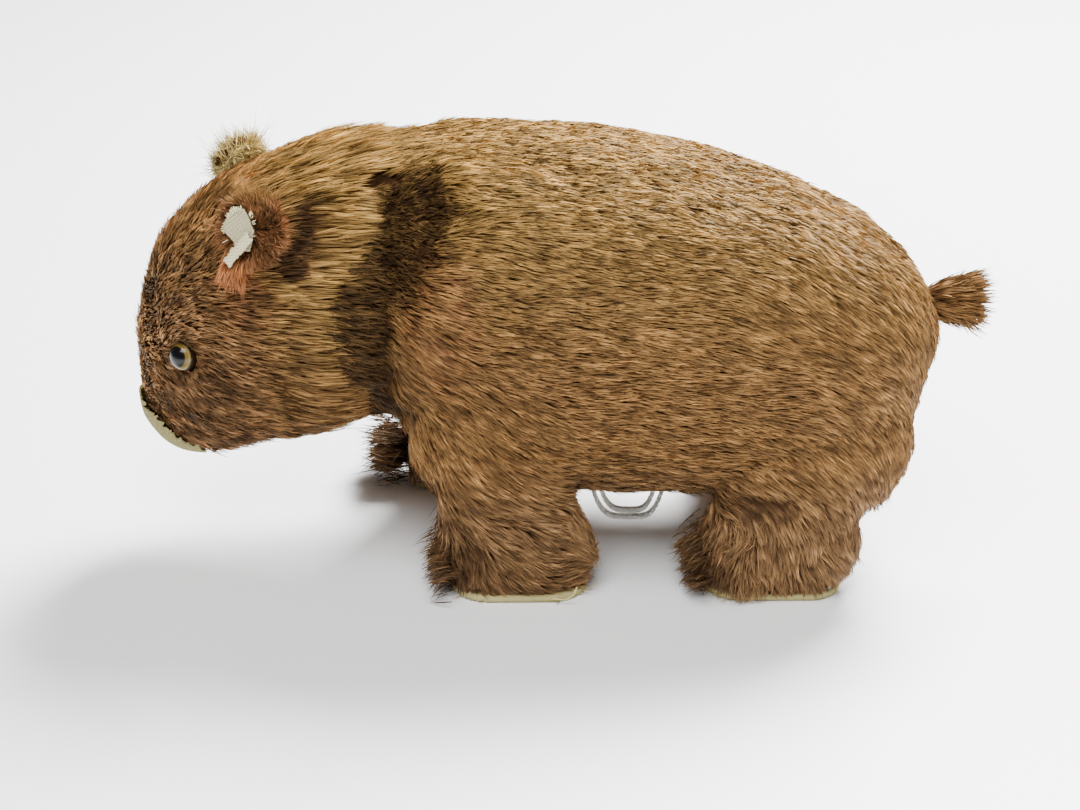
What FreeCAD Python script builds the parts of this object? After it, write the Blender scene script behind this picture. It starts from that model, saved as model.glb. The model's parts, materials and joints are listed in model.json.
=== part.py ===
"""Clockwork walking bear: a plush-covered tin body, a spring motor, four swinging legs and a nodding head.

Millimetres, +Z up. The bear faces -X and its left side is -Y. The sub-parts are drawn on the
toy's own axes: the middle plane is y = 0, x = 0 lies half-way between the leg pivots and the
ground is z = 0. FrameX and FrameY move them, as they are written, so that the part's origin is
on the ground at the centre of the whole toy's box.
"""
import FreeCAD, Part
import math
import os
import Sketcher
from FreeCAD import Placement, Rotation, Vector

doc = FreeCAD.newDocument("ClockworkBear")

# ---------------------------------------------------------------- driving dimensions
DIMENSIONS = {
    # from the toy's own axes to the part's origin
    "FrameX": 15.984, "FrameY": -9.666,
    # plush, tin and cloth thicknesses
    "PlushThick": 4.0, "PlushGap": 0.3, "ShellThick": 0.6, "SeamGap": 0.02, "FitGap": 0.02, "RunGap": 0.05,
    # motor frame
    "PlateInner": 15.0, "PlateThick": 1.0, "PlateFront": -33.0, "PlateBack": 33.0,
    "PlateBottom": 25.5, "PlateTop": 72.0, "PlateShoulder": 62.0, "PlateSlopeStart": 14.0,
    "PillarRadius": 1.8, "NutRadius": 3.0, "NutThick": 1.2, "PillarStud": 1.2,
    "UpperPillarX": -27.0, "UpperPillarZ": 68.0, "BackPillarX": 28.5, "BackPillarZ": 61.0,
    "LowerPillarX": 22.0, "LowerPillarZ": 28.8,
    # gear train
    "GearModule": 0.8, "PressureAngle": 25.0, "PinionTeeth": 10, "GreatTeeth": 44, "SecondTeeth": 40,
    "CrankTeeth": 30, "WheelThick": 1.0, "PinionThick": 3.0, "WindowCount": 5,
    "GreatX": 7.0, "GreatZ": 56.0, "SecondX": -13.4, "CrankX": -1.4, "GovernorRise": 15.0,
    "GreatY": -1.0, "SecondY": 4.0, "CrankWheelY": 9.0,
    "GreatWindow": 2.6, "GreatWindowOut": 12.5, "SecondWindow": 2.8, "SecondWindowOut": 9.0,
    "CrankWindow": 2.0, "CrankWindowOut": 6.2,
    "FlyHub": 2.0, "FlyInner": 10.2, "FlyOuter": 13.2, "FlyHalf": 6.0, "FlyThick": 0.8,
    "WindRadius": 2.0, "SecondRadius": 1.2, "CrankRadius": 1.5, "GovernorRadius": 1.0, "ArborReach": 16.3,
    # winding parts
    "RatchetTeeth": 12, "RatchetTip": 6.4, "RatchetRoot": 4.8, "RatchetY": -3.2, "ClickReach": 11.0,
    "SpringInner": 4.6, "SpringOuter": 14.2, "SpringTurns": 7, "SpringStrip": 0.35,
    "SpringTop": -6.0, "SpringWide": 8.0,
    "ClickAngle": -35.0, "ClickEye": 2.0, "ClickRivet": 1.0, "ClickHalf": 0.5, "ClickNose": 6.1,
    "ClickNoseAngle": -8.0,
    "KeyStart": 34.6, "KeyTube": 3.2, "KeyTubeLong": 8.0, "KeyWing": 6.5, "KeyWingHole": 3.0,
    "KeyWingOut": 7.6, "KeyWingThick": 1.6,
    "BushRadius": 4.5, "BushFlange": 6.5, "BushFlangeY": 33.3, "BushInner": 25.5,
    # legs and links
    "FrontX": -30.0, "BackX": 30.0, "LegZ": 30.0, "LegShaft": 1.5, "LegShoulder": 2.4, "LeverInner": 21.2,
    "LeverThick": 1.0, "LeverHalf": 3.0, "ArmLong": 9.0, "PinRadius": 0.9, "EyeRadius": 2.4,
    "ClipRadius": 3.0, "ClipThick": 0.8, "CrankThrow": 2.0, "DiscRadius": 5.0, "DiscInner": 17.0,
    "FrontRodY": 19.0, "BackRodY": 20.0, "RodThick": 0.8,
    "FootInner": 14.0, "FootOuter": 30.5, "FootTop": 14.0, "FootRound": 4.5, "FrontFoot": 35.0,
    "BackFoot": 39.0, "SoleThick": 1.5, "FootPlateThick": 1.0,
    "HipRadius": 12.0, "HipInner": 23.4, "HipOuter": 30.2, "HipGap": 1.6, "NotchTop": 27.0,
    # neck and head
    "HipReach": 8.0, "SwingRoom": 8.0,
    "NeckX": -46.0, "NeckZ": 60.0, "NeckPin": 1.2, "NeckLug": 8.0, "NeckHole": 14.0, "HeadBack": -54.0,
    "BackOpenHalf": 17.0, "BackOpenLow": 20.0, "BackOpenHigh": 16.0,
    "HingeSleeve": 3.0, "HingeWebHalf": 6.0, "HingeThick": 4.0, "FlangeHalf": 12.0, "FlangeLow": 14.0,
    "FlangeHigh": 10.0, "FlangeThick": 1.0, "HeadTin": 1.0,
    "EyeBall": 3.0, "EyeShank": 0.5, "EyeShankLong": 7.0, "EyeX": -89.5, "EyeZ": 46.5,
    "EarX": -75.0, "EarOut": 18.0, "EarZ": 74.0, "EarRadius": 8.0, "EarThick": 3.5, "EarRound": 1.5,
    "NoseHalf": 6.5, "NoseBack": -88.0, "NoseLow": 15.0, "NoseTop": 36.0, "NoseThick": 0.5,
    # string and tail
    "StringRadius": 0.5, "StringLoop": 9.0, "StringX": -2.2, "StringY": -6.0, "StringZ": 18.9,
    "StringStart": 218.0, "StringSweep": 104.0,
    "TailLong": 9.2, "TailBase": 3.6, "TailTip": 5.4, "TailZ": 52.5, "TailGap": 0.25, "TailTilt": 88.0,
}

# Outer plush form, from the neck to the rump: x, top, bottom, half width, widening towards the top.
BODY_FORM = [
    (-50.0, 85.0, 29.0, 24.5, 0.0),
    (-42.0, 88.5, 21.0, 29.0, 0.0),
    (-30.0, 90.5, 16.5, 31.5, 0.0),
    (-12.0, 89.5, 14.0, 32.5, 0.0),
    (10.0, 84.5, 14.0, 33.0, 0.0),
    (30.0, 76.5, 14.5, 32.0, 0.0),
    (45.0, 68.5, 17.5, 29.0, 0.0),
    (54.0, 62.0, 25.5, 23.0, 0.0),
    (59.5, 55.0, 39.5, 12.0, 0.0),
]
# Outer plush form of the head, from the neck to the muzzle.
HEAD_FORM = [
    (-53.5, 85.5, 31.0, 25.0, 0.0),
    (-62.0, 84.5, 28.0, 25.0, 0.05),
    (-71.0, 81.8, 25.0, 24.0, 0.15),
    (-80.0, 77.5, 22.8, 22.5, 0.25),
    (-88.0, 71.8, 21.3, 19.5, 0.32),
    (-94.5, 65.0, 23.0, 15.5, 0.35),
    (-98.5, 54.5, 27.5, 11.0, 0.3),
    (-100.6, 45.0, 32.5, 6.5, 0.1),
]
SECTION_POINTS = 20
SECTION_POWER = 2.4
BACKLASH = 0.10
ADDENDUM = 0.8
DEDENDUM = 1.0

sheet = doc.addObject("Spreadsheet::Sheet", "Dims")
for row, (alias, number) in enumerate(DIMENSIONS.items(), start=1):
    sheet.set("A%d" % row, alias)
    sheet.set("B%d" % row, str(number))
    sheet.setAlias("B%d" % row, alias)
doc.recompute()

nodes = {}


def dim(alias):
    """The number that the sheet holds under this alias."""
    return float(sheet.get(alias))


def bind(item, prop, rule):
    """Bind a property to an expression. In a rule, names of dimensions stand for cells of the sheet."""
    text = str(rule)
    words = []
    word = ""
    for letter in text + " ":
        if letter.isalnum() or letter == "_":
            word += letter
            continue
        words.append("Dims." + word if word in DIMENSIONS else word)
        words.append(letter)
        word = ""
    item.setExpression(prop, "".join(words).strip())


def keep(item, label):
    """Name a finished sub-part and list it for writing."""
    item.Label = label
    nodes[label] = item
    return item


# ---------------------------------------------------------------- primitives and booleans
def place(item, x, y, z, rotation):
    item.Placement = Placement(Vector(0, 0, 0), rotation)
    bind(item, "Placement.Base.x", x)
    bind(item, "Placement.Base.y", y)
    bind(item, "Placement.Base.z", z)


def rod(name, radius, y_from, y_to, x, z):
    """A cylinder along Y, between two widths."""
    item = doc.addObject("Part::Cylinder", name)
    bind(item, "Radius", radius)
    bind(item, "Height", "(%s) - (%s)" % (y_to, y_from))
    place(item, x, y_from, z, Rotation(Vector(1, 0, 0), -90))
    return item


def box(name, x_span, y_span, z_span):
    """A box between two values on each axis."""
    item = doc.addObject("Part::Box", name)
    spans = (x_span, y_span, z_span)
    for side, span in zip(("Length", "Width", "Height"), spans):
        bind(item, side, "(%s) - (%s)" % (span[1], span[0]))
    place(item, x_span[0], y_span[0], z_span[0], Rotation())
    return item


def fuse(name, pieces):
    item = doc.addObject("Part::MultiFuse", name)
    item.Shapes = pieces
    return item


def cut(name, base, tools):
    """Base with every tool taken away."""
    item = doc.addObject("Part::Cut", name)
    item.Base = base
    item.Tool = tools[0] if len(tools) == 1 else fuse(name + "_tools", tools)
    return item


def common(name, first, second):
    item = doc.addObject("Part::Common", name)
    item.Base = first
    item.Tool = second
    return item


def group(name, pieces):
    """Separate identical fasteners kept as one node."""
    item = doc.addObject("Part::Compound", name)
    item.Links = pieces
    return item


def feature(name, shape):
    """A free-form shape, with its sizes already read from the sheet."""
    item = doc.addObject("Part::Feature", name)
    item.Shape = shape
    item.Placement = Placement()
    return item


def side_span(side, inner, outer):
    """The Y span of a piece that lies between two widths on the left (-1) or the right (1) side."""
    if side > 0:
        return ("(%s)" % inner, "(%s)" % outer)
    return ("-(%s)" % outer, "-(%s)" % inner)


# ---------------------------------------------------------------- sketched pieces
def flat_body(name, x, y_high, z, turn=0.0):
    """A body whose sketch plane is the side view: sketch x is X, sketch y is Z, pads go to -Y."""
    body = doc.addObject("PartDesign::Body", name)
    place(body, x, y_high, z, Rotation(Vector(1, 0, 0), 90) * Rotation(Vector(0, 0, 1), turn))
    return body


def upright_body(name, x, y, z):
    """A body whose sketch plane is the ground plan and whose pads go up."""
    body = doc.addObject("PartDesign::Body", name)
    place(body, x, y, z, Rotation())
    return body


def origin_feature(body, role):
    return next(item for item in body.Origin.OriginFeatures if item.Role == role)


def sketch_on(body, name):
    sketch = body.newObject("Sketcher::SketchObject", name)
    sketch.AttachmentSupport = (origin_feature(body, "XY_Plane"), [""])
    sketch.MapMode = "FlatFace"
    return sketch


def add_circle(sketch, radius, x="0", y="0"):
    """A circle held by its radius and by the place of its centre."""
    index = sketch.addGeometry(Part.Circle(Vector(0.1, 0.1, 0), Vector(0, 0, 1), 1.0))
    for kind, place_rule in (("DistanceX", x), ("DistanceY", y)):
        number = sketch.addConstraint(Sketcher.Constraint(kind, -1, 1, index, 3, 0.1))
        bind(sketch, "Constraints[%d]" % number, place_rule)
    number = sketch.addConstraint(Sketcher.Constraint("Radius", index, 1.0))
    bind(sketch, "Constraints[%d]" % number, radius)


def add_outline(sketch, points):
    """A closed outline of straight lines, fixed where the points put it."""
    count = len(points)
    first = None
    for number in range(count):
        start = Vector(*points[number], 0)
        end = Vector(*points[(number + 1) % count], 0)
        index = sketch.addGeometry(Part.LineSegment(start, end))
        first = index if first is None else first
    for number in range(count):
        after = first + (number + 1) % count
        sketch.addConstraint(Sketcher.Constraint("Coincident", first + number, 2, after, 1))


def add_slot(sketch, start, end, radius):
    """A round-ended slot between two centres."""
    along = Vector(end[0] - start[0], end[1] - start[1], 0)
    angle = math.atan2(along.y, along.x)
    across = Vector(-math.sin(angle), math.cos(angle), 0) * radius
    first, last = Vector(*start, 0), Vector(*end, 0)
    sketch.addGeometry(Part.LineSegment(first + across, last + across))
    sketch.addGeometry(Part.LineSegment(last - across, first - across))
    half = math.pi / 2
    circle_end = Part.Circle(last, Vector(0, 0, 1), radius)
    circle_start = Part.Circle(first, Vector(0, 0, 1), radius)
    sketch.addGeometry(Part.ArcOfCircle(circle_end, angle - half, angle + half))
    sketch.addGeometry(Part.ArcOfCircle(circle_start, angle + half, angle + 3 * half))


def pad(body, sketch, name, length):
    item = body.newObject("PartDesign::Pad", name)
    item.Profile = sketch
    bind(item, "Length", length)
    return item


def pocket(body, sketch, name):
    item = body.newObject("PartDesign::Pocket", name)
    item.Profile = sketch
    item.Type = "ThroughAll"
    item.Reversed = True
    return item


def around(body, original, name, count):
    """Repeat a pocket in a full circle."""
    item = body.newObject("PartDesign::PolarPattern", name)
    item.Originals = [original]
    item.Axis = (origin_feature(body, "Z_Axis"), [""])
    item.Angle = 360
    bind(item, "Occurrences", count)
    body.Tip = item
    return item


def involute(base, radius):
    """How far an involute has turned from its start when it reaches this radius."""
    reach = math.acos(min(1.0, base / radius))
    return math.tan(reach) - reach


def gear_body(name, teeth, thick, bore, x, y_high, z, mesh_angle, windows=None):
    """An involute gear with one tooth centred on mesh_angle. Windows are (radius, distance out)."""
    count = int(dim(teeth))
    module = dim("GearModule")
    pitch = module * count / 2
    tip = pitch + ADDENDUM * module
    root = pitch - DEDENDUM * module
    base = pitch * math.cos(math.radians(dim("PressureAngle")))
    half_tooth = math.pi / (2 * count) - BACKLASH / (2 * pitch)
    body = flat_body(name, x, y_high, z, mesh_angle)
    blank = sketch_on(body, name + "_blank")
    add_circle(blank, "GearModule * (%s / 2 + %s)" % (teeth, ADDENDUM))
    add_circle(blank, bore)
    pad(body, blank, name + "_pad", thick)

    # One gap, centred half a tooth pitch round from the tooth that is on the sketch's x axis.
    middle = math.pi / count
    start = max(base, root)

    def flank(radius, side):
        gap_half = middle - half_tooth - involute(base, pitch) + involute(base, radius)
        angle = middle + side * gap_half
        return Vector(radius * math.cos(angle), radius * math.sin(angle), 0)

    def root_point(side):
        angle = math.atan2(flank(start, side).y, flank(start, side).x)
        return Vector(root * math.cos(angle), root * math.sin(angle), 0)

    over = tip + 0.3
    gap = sketch_on(body, name + "_gap")
    middle_radius = (start + over) / 2
    gap.addGeometry(Part.Arc(flank(start, -1), flank(middle_radius, -1), flank(over, -1)))
    gap.addGeometry(Part.LineSegment(flank(over, -1), flank(over, 1)))
    gap.addGeometry(Part.Arc(flank(over, 1), flank(middle_radius, 1), flank(start, 1)))
    bottom = Vector(root * math.cos(middle), root * math.sin(middle), 0)
    gap.addGeometry(Part.Arc(root_point(1), bottom, root_point(-1)))
    if base > root:
        gap.addGeometry(Part.LineSegment(flank(start, 1), root_point(1)))
        gap.addGeometry(Part.LineSegment(root_point(-1), flank(start, -1)))
    around(body, pocket(body, gap, name + "_gap_cut"), name + "_teeth", teeth)
    if windows:
        window = sketch_on(body, name + "_window")
        add_circle(window, windows[0], windows[1], "0")
        around(body, pocket(body, window, name + "_window_cut"), name + "_windows", "WindowCount")
    return body


# ---------------------------------------------------------------- places of the gear train
def centre_distance(teeth, other):
    return dim("GearModule") * (dim(teeth) + dim(other)) / 2


def below(start, x, distance):
    """The point under start, at this x and this distance from it."""
    return (x, start[1] - math.sqrt(distance ** 2 - (x - start[0]) ** 2))


def heading(start, end):
    return math.degrees(math.atan2(end[1] - start[1], end[0] - start[0]))


GREAT = (dim("GreatX"), dim("GreatZ"))
SECOND = below(GREAT, dim("SecondX"), centre_distance("GreatTeeth", "PinionTeeth"))
CRANK = below(SECOND, dim("CrankX"), centre_distance("SecondTeeth", "PinionTeeth"))
RISE = math.radians(dim("GovernorRise"))
GOVERNOR_GAP = centre_distance("CrankTeeth", "PinionTeeth")
GOVERNOR = (CRANK[0] + GOVERNOR_GAP * math.cos(RISE), CRANK[1] + GOVERNOR_GAP * math.sin(RISE))
HALF_PINION_PITCH = 180 / dim("PinionTeeth")

# Each leg: side, pivot, foot length, lean of the foot towards the back in degrees, arm up (1) or down (-1).
LEGS = {
    "left_front": (-1, "FrontX", "FrontFoot", 10.0, 1),
    "right_front": (1, "FrontX", "FrontFoot", -14.0, 1),
    "left_rear": (-1, "BackX", "BackFoot", -5.0, -1),
    "right_rear": (1, "BackX", "BackFoot", 7.0, -1),
}


def foot_centre(leg):
    _, pivot, _, lean, _ = LEGS[leg]
    return dim(pivot) + dim("LegZ") * math.tan(math.radians(lean))


def arm_pin(leg):
    """Where the link's pin is, on the lever's arm."""
    _, pivot, _, lean, up = LEGS[leg]
    turn = math.radians(lean)
    arm = dim("ArmLong") * up
    return (dim(pivot) - arm * math.sin(turn), dim("LegZ") + arm * math.cos(turn))


# ---------------------------------------------------------------- free-form plush and tin forms
def section_wire(x, top, bottom, half_width, widening):
    """A rounded upright section, fuller than an ellipse, that may widen towards its top."""
    middle = (top + bottom) / 2
    half_height = (top - bottom) / 2
    points = []
    for number in range(SECTION_POINTS):
        angle = 2 * math.pi * number / SECTION_POINTS
        across, up = math.cos(angle), math.sin(angle)
        rise = math.copysign(abs(up) ** (2 / SECTION_POWER), up)
        side = math.copysign(abs(across) ** (2 / SECTION_POWER), across)
        width = half_width * (1 + widening * rise)
        points.append(Vector(x, width * side, middle + half_height * rise))
    curve = Part.BSplineCurve()
    curve.interpolate(points, PeriodicFlag=True)
    return Part.Wire([curve.toShape()])


def form(stations, inset):
    """The solid through the stations, moved inwards by inset."""
    start, end = stations[0][0], stations[-1][0]
    middle = (start + end) / 2
    scale = 1 - 2 * inset / abs(end - start)
    wires = []
    for x, top, bottom, half_width, widening in stations:
        moved = middle + (x - middle) * scale
        wires.append(section_wire(moved, top - inset, bottom + inset, half_width - inset, widening))
    return Part.makeLoft(wires, True, False)


def leg_openings(name, only_side=0):
    """The space that the legs swing in, on one side of the body or on both."""
    tools = []
    for leg, (side, pivot, foot, _, _) in LEGS.items():
        if side == -only_side:
            continue
        hip_span = side_span(side, "FootInner - 1.5", "FootOuter + HipReach")
        tools.append(rod("%s_%s_hip" % (name, leg), "HipRadius + HipGap", *hip_span, pivot, "LegZ"))
        sweep = rod("%s_%s_sweep" % (name, leg), "%s / 2 + SwingRoom" % foot, *hip_span, pivot, "LegZ")
        low = box("%s_%s_low" % (name, leg), ("-80", "80"), ("-50", "50"), ("0", "NotchTop"))
        tools.append(common("%s_%s_notch" % (name, leg), sweep, low))
    return tools


def neck_opening(name):
    tool = doc.addObject("Part::Cylinder", name)
    bind(tool, "Radius", "NeckHole")
    bind(tool, "Height", "16")
    place(tool, "-56", "0", "NeckZ", Rotation(Vector(0, 1, 0), 90))
    return tool


def body_shells():
    """The pressed-tin body, in a left and a right half that meet on the middle plane."""
    outer_inset = dim("PlushThick") + dim("PlushGap")
    outer = form(BODY_FORM, outer_inset)
    inner = form(BODY_FORM, outer_inset + dim("ShellThick"))
    left_space = Part.makeBox(160, 60, 120, Vector(-80, -60 - dim("SeamGap") / 2, 0))
    half = feature("left_tin", outer.common(left_space).cut(inner.common(left_space)))
    for number, tool in enumerate(leg_openings("shell", -1) + [neck_opening("shell_neck")]):
        half = cut("left_tin_opened_%d" % number, half, [tool])
    keep(half, "left_body_shell")
    mirrored = doc.addObject("Part::Mirroring", "right_tin")
    mirrored.Source = half
    mirrored.Normal = Vector(0, 1, 0)
    bush = rod("shell_bush_hole", "BushRadius + FitGap", "20", "40", "GreatX", "GreatZ")
    keep(cut("right_tin_pierced", mirrored, [bush]), "right_body_shell")


def body_plush():
    outer = form(BODY_FORM, 0.0)
    inner = form(BODY_FORM, dim("PlushThick"))
    cover = feature("body_pile", outer.cut(inner))
    tools = leg_openings("plush") + [neck_opening("plush_neck")]
    tools.append(rod("plush_bush_hole", "BushRadius + 0.1", "20", "40", "GreatX", "GreatZ"))
    keep(cut("body_plush", cover, tools), "body_plush")


def tail():
    """The short stub of a tail."""
    item = doc.addObject("Part::Cone", "tail_plush")
    bind(item, "Radius1", "TailBase")
    bind(item, "Radius2", "TailTip")
    bind(item, "Height", "TailLong")
    root = "%.2f + TailGap" % BODY_FORM[-1][0]
    place(item, root, "0", "TailZ", Rotation(Vector(0, 1, 0), dim("TailTilt")))
    keep(item, "tail_plush")


def belly_string():
    """The cotton loop that hangs from the seam under the belly."""
    item = doc.addObject("Part::Torus", "belly_string")
    bind(item, "Radius1", "StringLoop")
    bind(item, "Radius2", "StringRadius")
    bind(item, "Angle3", "StringSweep")
    hanging = Rotation(Vector(1, 0, 0), 90) * Rotation(Vector(0, 0, 1), dim("StringStart"))
    place(item, "StringX", "StringY", "StringZ", hanging)
    keep(item, "belly_string")


# ---------------------------------------------------------------- motor frame
PLATE_HOLES = [
    ("WindRadius + RunGap", GREAT),
    ("SecondRadius + RunGap", SECOND),
    ("CrankRadius + RunGap", CRANK),
    ("GovernorRadius + RunGap", GOVERNOR),
    ("LegShaft + FitGap", (dim("FrontX"), dim("LegZ"))),
    ("LegShaft + FitGap", (dim("BackX"), dim("LegZ"))),
    ("PillarStud + FitGap", (dim("UpperPillarX"), dim("UpperPillarZ"))),
    ("PillarStud + FitGap", (dim("BackPillarX"), dim("BackPillarZ"))),
    ("PillarStud + FitGap", (dim("LowerPillarX"), dim("LowerPillarZ"))),
]


def frame_plate(label, y_high):
    """One side plate of the motor, with its bearing holes."""
    body = flat_body(label, "0", y_high, "0")
    outline = sketch_on(body, label + "_outline")
    front, back = dim("PlateFront"), dim("PlateBack")
    add_outline(outline, [
        (front, dim("PlateBottom") + 2), (front + 4, dim("PlateBottom")), (back, dim("PlateBottom")),
        (back, dim("PlateShoulder")), (dim("PlateSlopeStart"), dim("PlateTop")), (front, dim("PlateTop")),
    ])
    for radius, (x, z) in PLATE_HOLES:
        add_circle(outline, radius, "%.4f" % x, "%.4f" % z)
    pad(body, outline, label + "_pad", "PlateThick")
    keep(body, label)


def frame_pillars():
    """Three pillars that hold the plates apart, each with a stud at both ends, and their nuts."""
    pillars = []
    nuts = []
    for place_name in ("UpperPillar", "BackPillar", "LowerPillar"):
        x, z = place_name + "X", place_name + "Z"
        stud_end = "PlateInner + PlateThick + NutThick + 0.3"
        middle = rod(place_name + "_middle", "PillarRadius", "-PlateInner", "PlateInner", x, z)
        stud = rod(place_name + "_stud", "PillarStud", "-(%s)" % stud_end, stud_end, x, z)
        pillars.append(fuse(place_name, [middle, stud]))
        for side in (-1, 1):
            name = "%s_nut_%s" % (place_name, "left" if side < 0 else "right")
            nut = doc.addObject("Part::Prism", name)
            nut.Polygon = 6
            bind(nut, "Circumradius", "NutRadius")
            bind(nut, "Height", "NutThick")
            span = side_span(side, "PlateInner + PlateThick", "PlateInner + PlateThick + NutThick")
            place(nut, x, span[0], z, Rotation(Vector(1, 0, 0), -90))
            hole = rod(name + "_hole", "PillarStud + FitGap", span[0] + " - 1", span[1] + " + 1", x, z)
            nuts.append(cut(name + "_ring", nut, [hole]))
    keep(group("frame_pillars", pillars), "frame_pillars")
    keep(group("pillar_nuts", nuts), "pillar_nuts")


def shell_standoffs():
    """Four short posts that carry the shell halves on the motor frame."""
    inset = dim("PlushThick") + dim("PlushGap") + dim("ShellThick") + 0.1
    inside = feature("shell_inside", form(BODY_FORM, inset))
    posts = []
    for side in (-1, 1):
        for number, (x, z) in enumerate((("-20", "66"), ("24", "53"))):
            name = "standoff_%s_%d" % ("left" if side < 0 else "right", number)
            span = side_span(side, "PlateInner + PlateThick", "40")
            posts.append(common(name, rod(name + "_bar", "PillarRadius", *span, x, z), inside))
    keep(group("shell_standoffs", posts), "shell_standoffs")


def leg_shafts():
    """Fixed shafts across the frame that the leg levers swing on, and the clips at their ends."""
    clips = []
    for label, x in (("front_leg_shaft", "FrontX"), ("rear_leg_shaft", "BackX")):
        end = "LeverInner + LeverThick + ClipThick + 0.9"
        shoulder_end = "LeverInner - RunGap"
        core = rod(label + "_core", "LegShaft", "-(%s)" % end, end, x, "LegZ")
        pieces = [core]
        for side in (-1, 1):
            name = "%s_%s" % (label, "left" if side < 0 else "right")
            outer = side_span(side, "PlateInner + PlateThick", shoulder_end)
            pieces.append(rod(name + "_shoulder", "LegShoulder", *outer, x, "LegZ"))
            clip_from = "LeverInner + LeverThick + RunGap"
            clip_span = side_span(side, clip_from, clip_from + " + ClipThick")
            ring = rod(name + "_clip", "ClipRadius", *clip_span, x, "LegZ")
            hole = rod(name + "_clip_hole", "LegShaft + FitGap", "-60", "60", x, "LegZ")
            clips.append(cut(name + "_clip_ring", ring, [hole]))
        keep(fuse(label, pieces), label)
    keep(group("leg_clips", clips), "leg_clips")


def neck_bracket():
    """The bent strip at the front of the frame that carries the neck pin between two lugs."""
    bar = box("neck_bar", ("PlateFront - 1.05", "PlateFront - 0.05"), ("-PlateInner", "PlateInner"),
              ("NeckZ - 6", "NeckZ + 6"))
    pieces = [bar]
    for side in (-1, 1):
        span = side_span(side, "NeckLug", "NeckLug + 1")
        name = "neck_lug_left" if side < 0 else "neck_lug_right"
        pieces.append(box(name, ("NeckX - 1", "PlateFront - 0.5"), span, ("NeckZ - 3.5", "NeckZ + 3.5")))
        pieces.append(rod(name + "_end", "3.5", *span, "NeckX", "NeckZ"))
    hole = rod("neck_lug_holes", "NeckPin + FitGap", "-20", "20", "NeckX", "NeckZ")
    keep(cut("neck_bracket", fuse("neck_strip", pieces), [hole]), "neck_bracket")
    pin = rod("neck_pin_core", "NeckPin", "-(NeckLug + 1.8)", "NeckLug + 1.8", "NeckX", "NeckZ")
    heads = []
    for side in (-1, 1):
        span = side_span(side, "NeckLug + 1 + FitGap", "NeckLug + 2")
        heads.append(rod("neck_pin_head_%d" % (side + 1), "NeckPin + 0.8", *span, "NeckX", "NeckZ"))
    keep(fuse("neck_pin", [pin] + heads), "neck_pin")


# ---------------------------------------------------------------- winding parts
def mainspring():
    """A coiled strip whose outer end reaches towards the back pillar."""
    turns = int(dim("SpringTurns"))
    inner, outer = dim("SpringInner"), dim("SpringOuter")
    strip = dim("SpringStrip")
    steps = turns * 12
    end_angle = math.radians(heading(GREAT, (dim("BackPillarX"), dim("BackPillarZ"))))
    start_angle = end_angle - 2 * math.pi * turns

    def coil(extra):
        points = []
        for step in range(steps + 1):
            share = step / steps
            radius = inner + (outer - inner) * share + extra
            angle = start_angle + (end_angle - start_angle) * share
            x = GREAT[0] + radius * math.cos(angle)
            z = GREAT[1] + radius * math.sin(angle)
            points.append(Vector(x, dim("SpringTop"), z))
        curve = Part.BSplineCurve()
        curve.interpolate(points)
        return curve.toShape(), points[0], points[-1]

    near, near_start, near_end = coil(0.0)
    far, far_start, far_end = coil(strip)
    edges = [near, Part.makeLine(near_end, far_end), far, Part.makeLine(far_start, near_start)]
    face = Part.Face(Part.Wire(Part.__sortEdges__(edges)))
    keep(feature("mainspring", face.extrude(Vector(0, -dim("SpringWide"), 0))), "mainspring")


def winding_arbor():
    """The arbor that the key turns; its hub stands inside the mainspring."""
    core = rod("winding_core", "WindRadius", "-ArborReach", "KeyStart + KeyTubeLong - 1", "GreatX", "GreatZ")
    hub = rod("winding_hub", "SpringInner - 1", "SpringTop - SpringWide", "SpringTop", "GreatX", "GreatZ")
    keep(fuse("winding_arbor", [core, hub]), "winding_arbor")


def ratchet_wheel():
    body = flat_body("ratchet_wheel", "GreatX", "RatchetY", "GreatZ")
    blank = sketch_on(body, "ratchet_blank")
    add_circle(blank, "RatchetTip")
    add_circle(blank, "WindRadius + FitGap")
    pad(body, blank, "ratchet_pad", "WheelThick")
    tip, root = dim("RatchetTip"), dim("RatchetRoot")
    step = 2 * math.pi / dim("RatchetTeeth")
    over = tip + 1
    gap = sketch_on(body, "ratchet_gap")
    add_outline(gap, [
        (root, 0), (over, 0), (over * math.cos(step), -over * math.sin(step)),
        (tip * math.cos(step), -tip * math.sin(step)),
    ])
    around(body, pocket(body, gap, "ratchet_gap_cut"), "ratchet_teeth", "RatchetTeeth")
    keep(body, "ratchet_wheel")


def click_place():
    angle = math.radians(dim("ClickAngle"))
    return (dim("ClickReach") * math.cos(angle), dim("ClickReach") * math.sin(angle))


def great_wheel():
    """The first wheel, loose on the arbor, with the rivet that the click turns on."""
    wheel = gear_body("great_gear", "GreatTeeth", "WheelThick", "WindRadius + RunGap", "GreatX", "GreatY",
                      "GreatZ", heading(GREAT, SECOND), ("GreatWindow", "GreatWindowOut"))
    x, z = click_place()
    rivet = rod("click_rivet", "ClickRivet", "RatchetY - WheelThick - 0.4", "GreatY - WheelThick / 2",
                "GreatX + %.4f" % x, "GreatZ + %.4f" % z)
    keep(fuse("great_wheel", [wheel, rivet]), "great_wheel")


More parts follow.
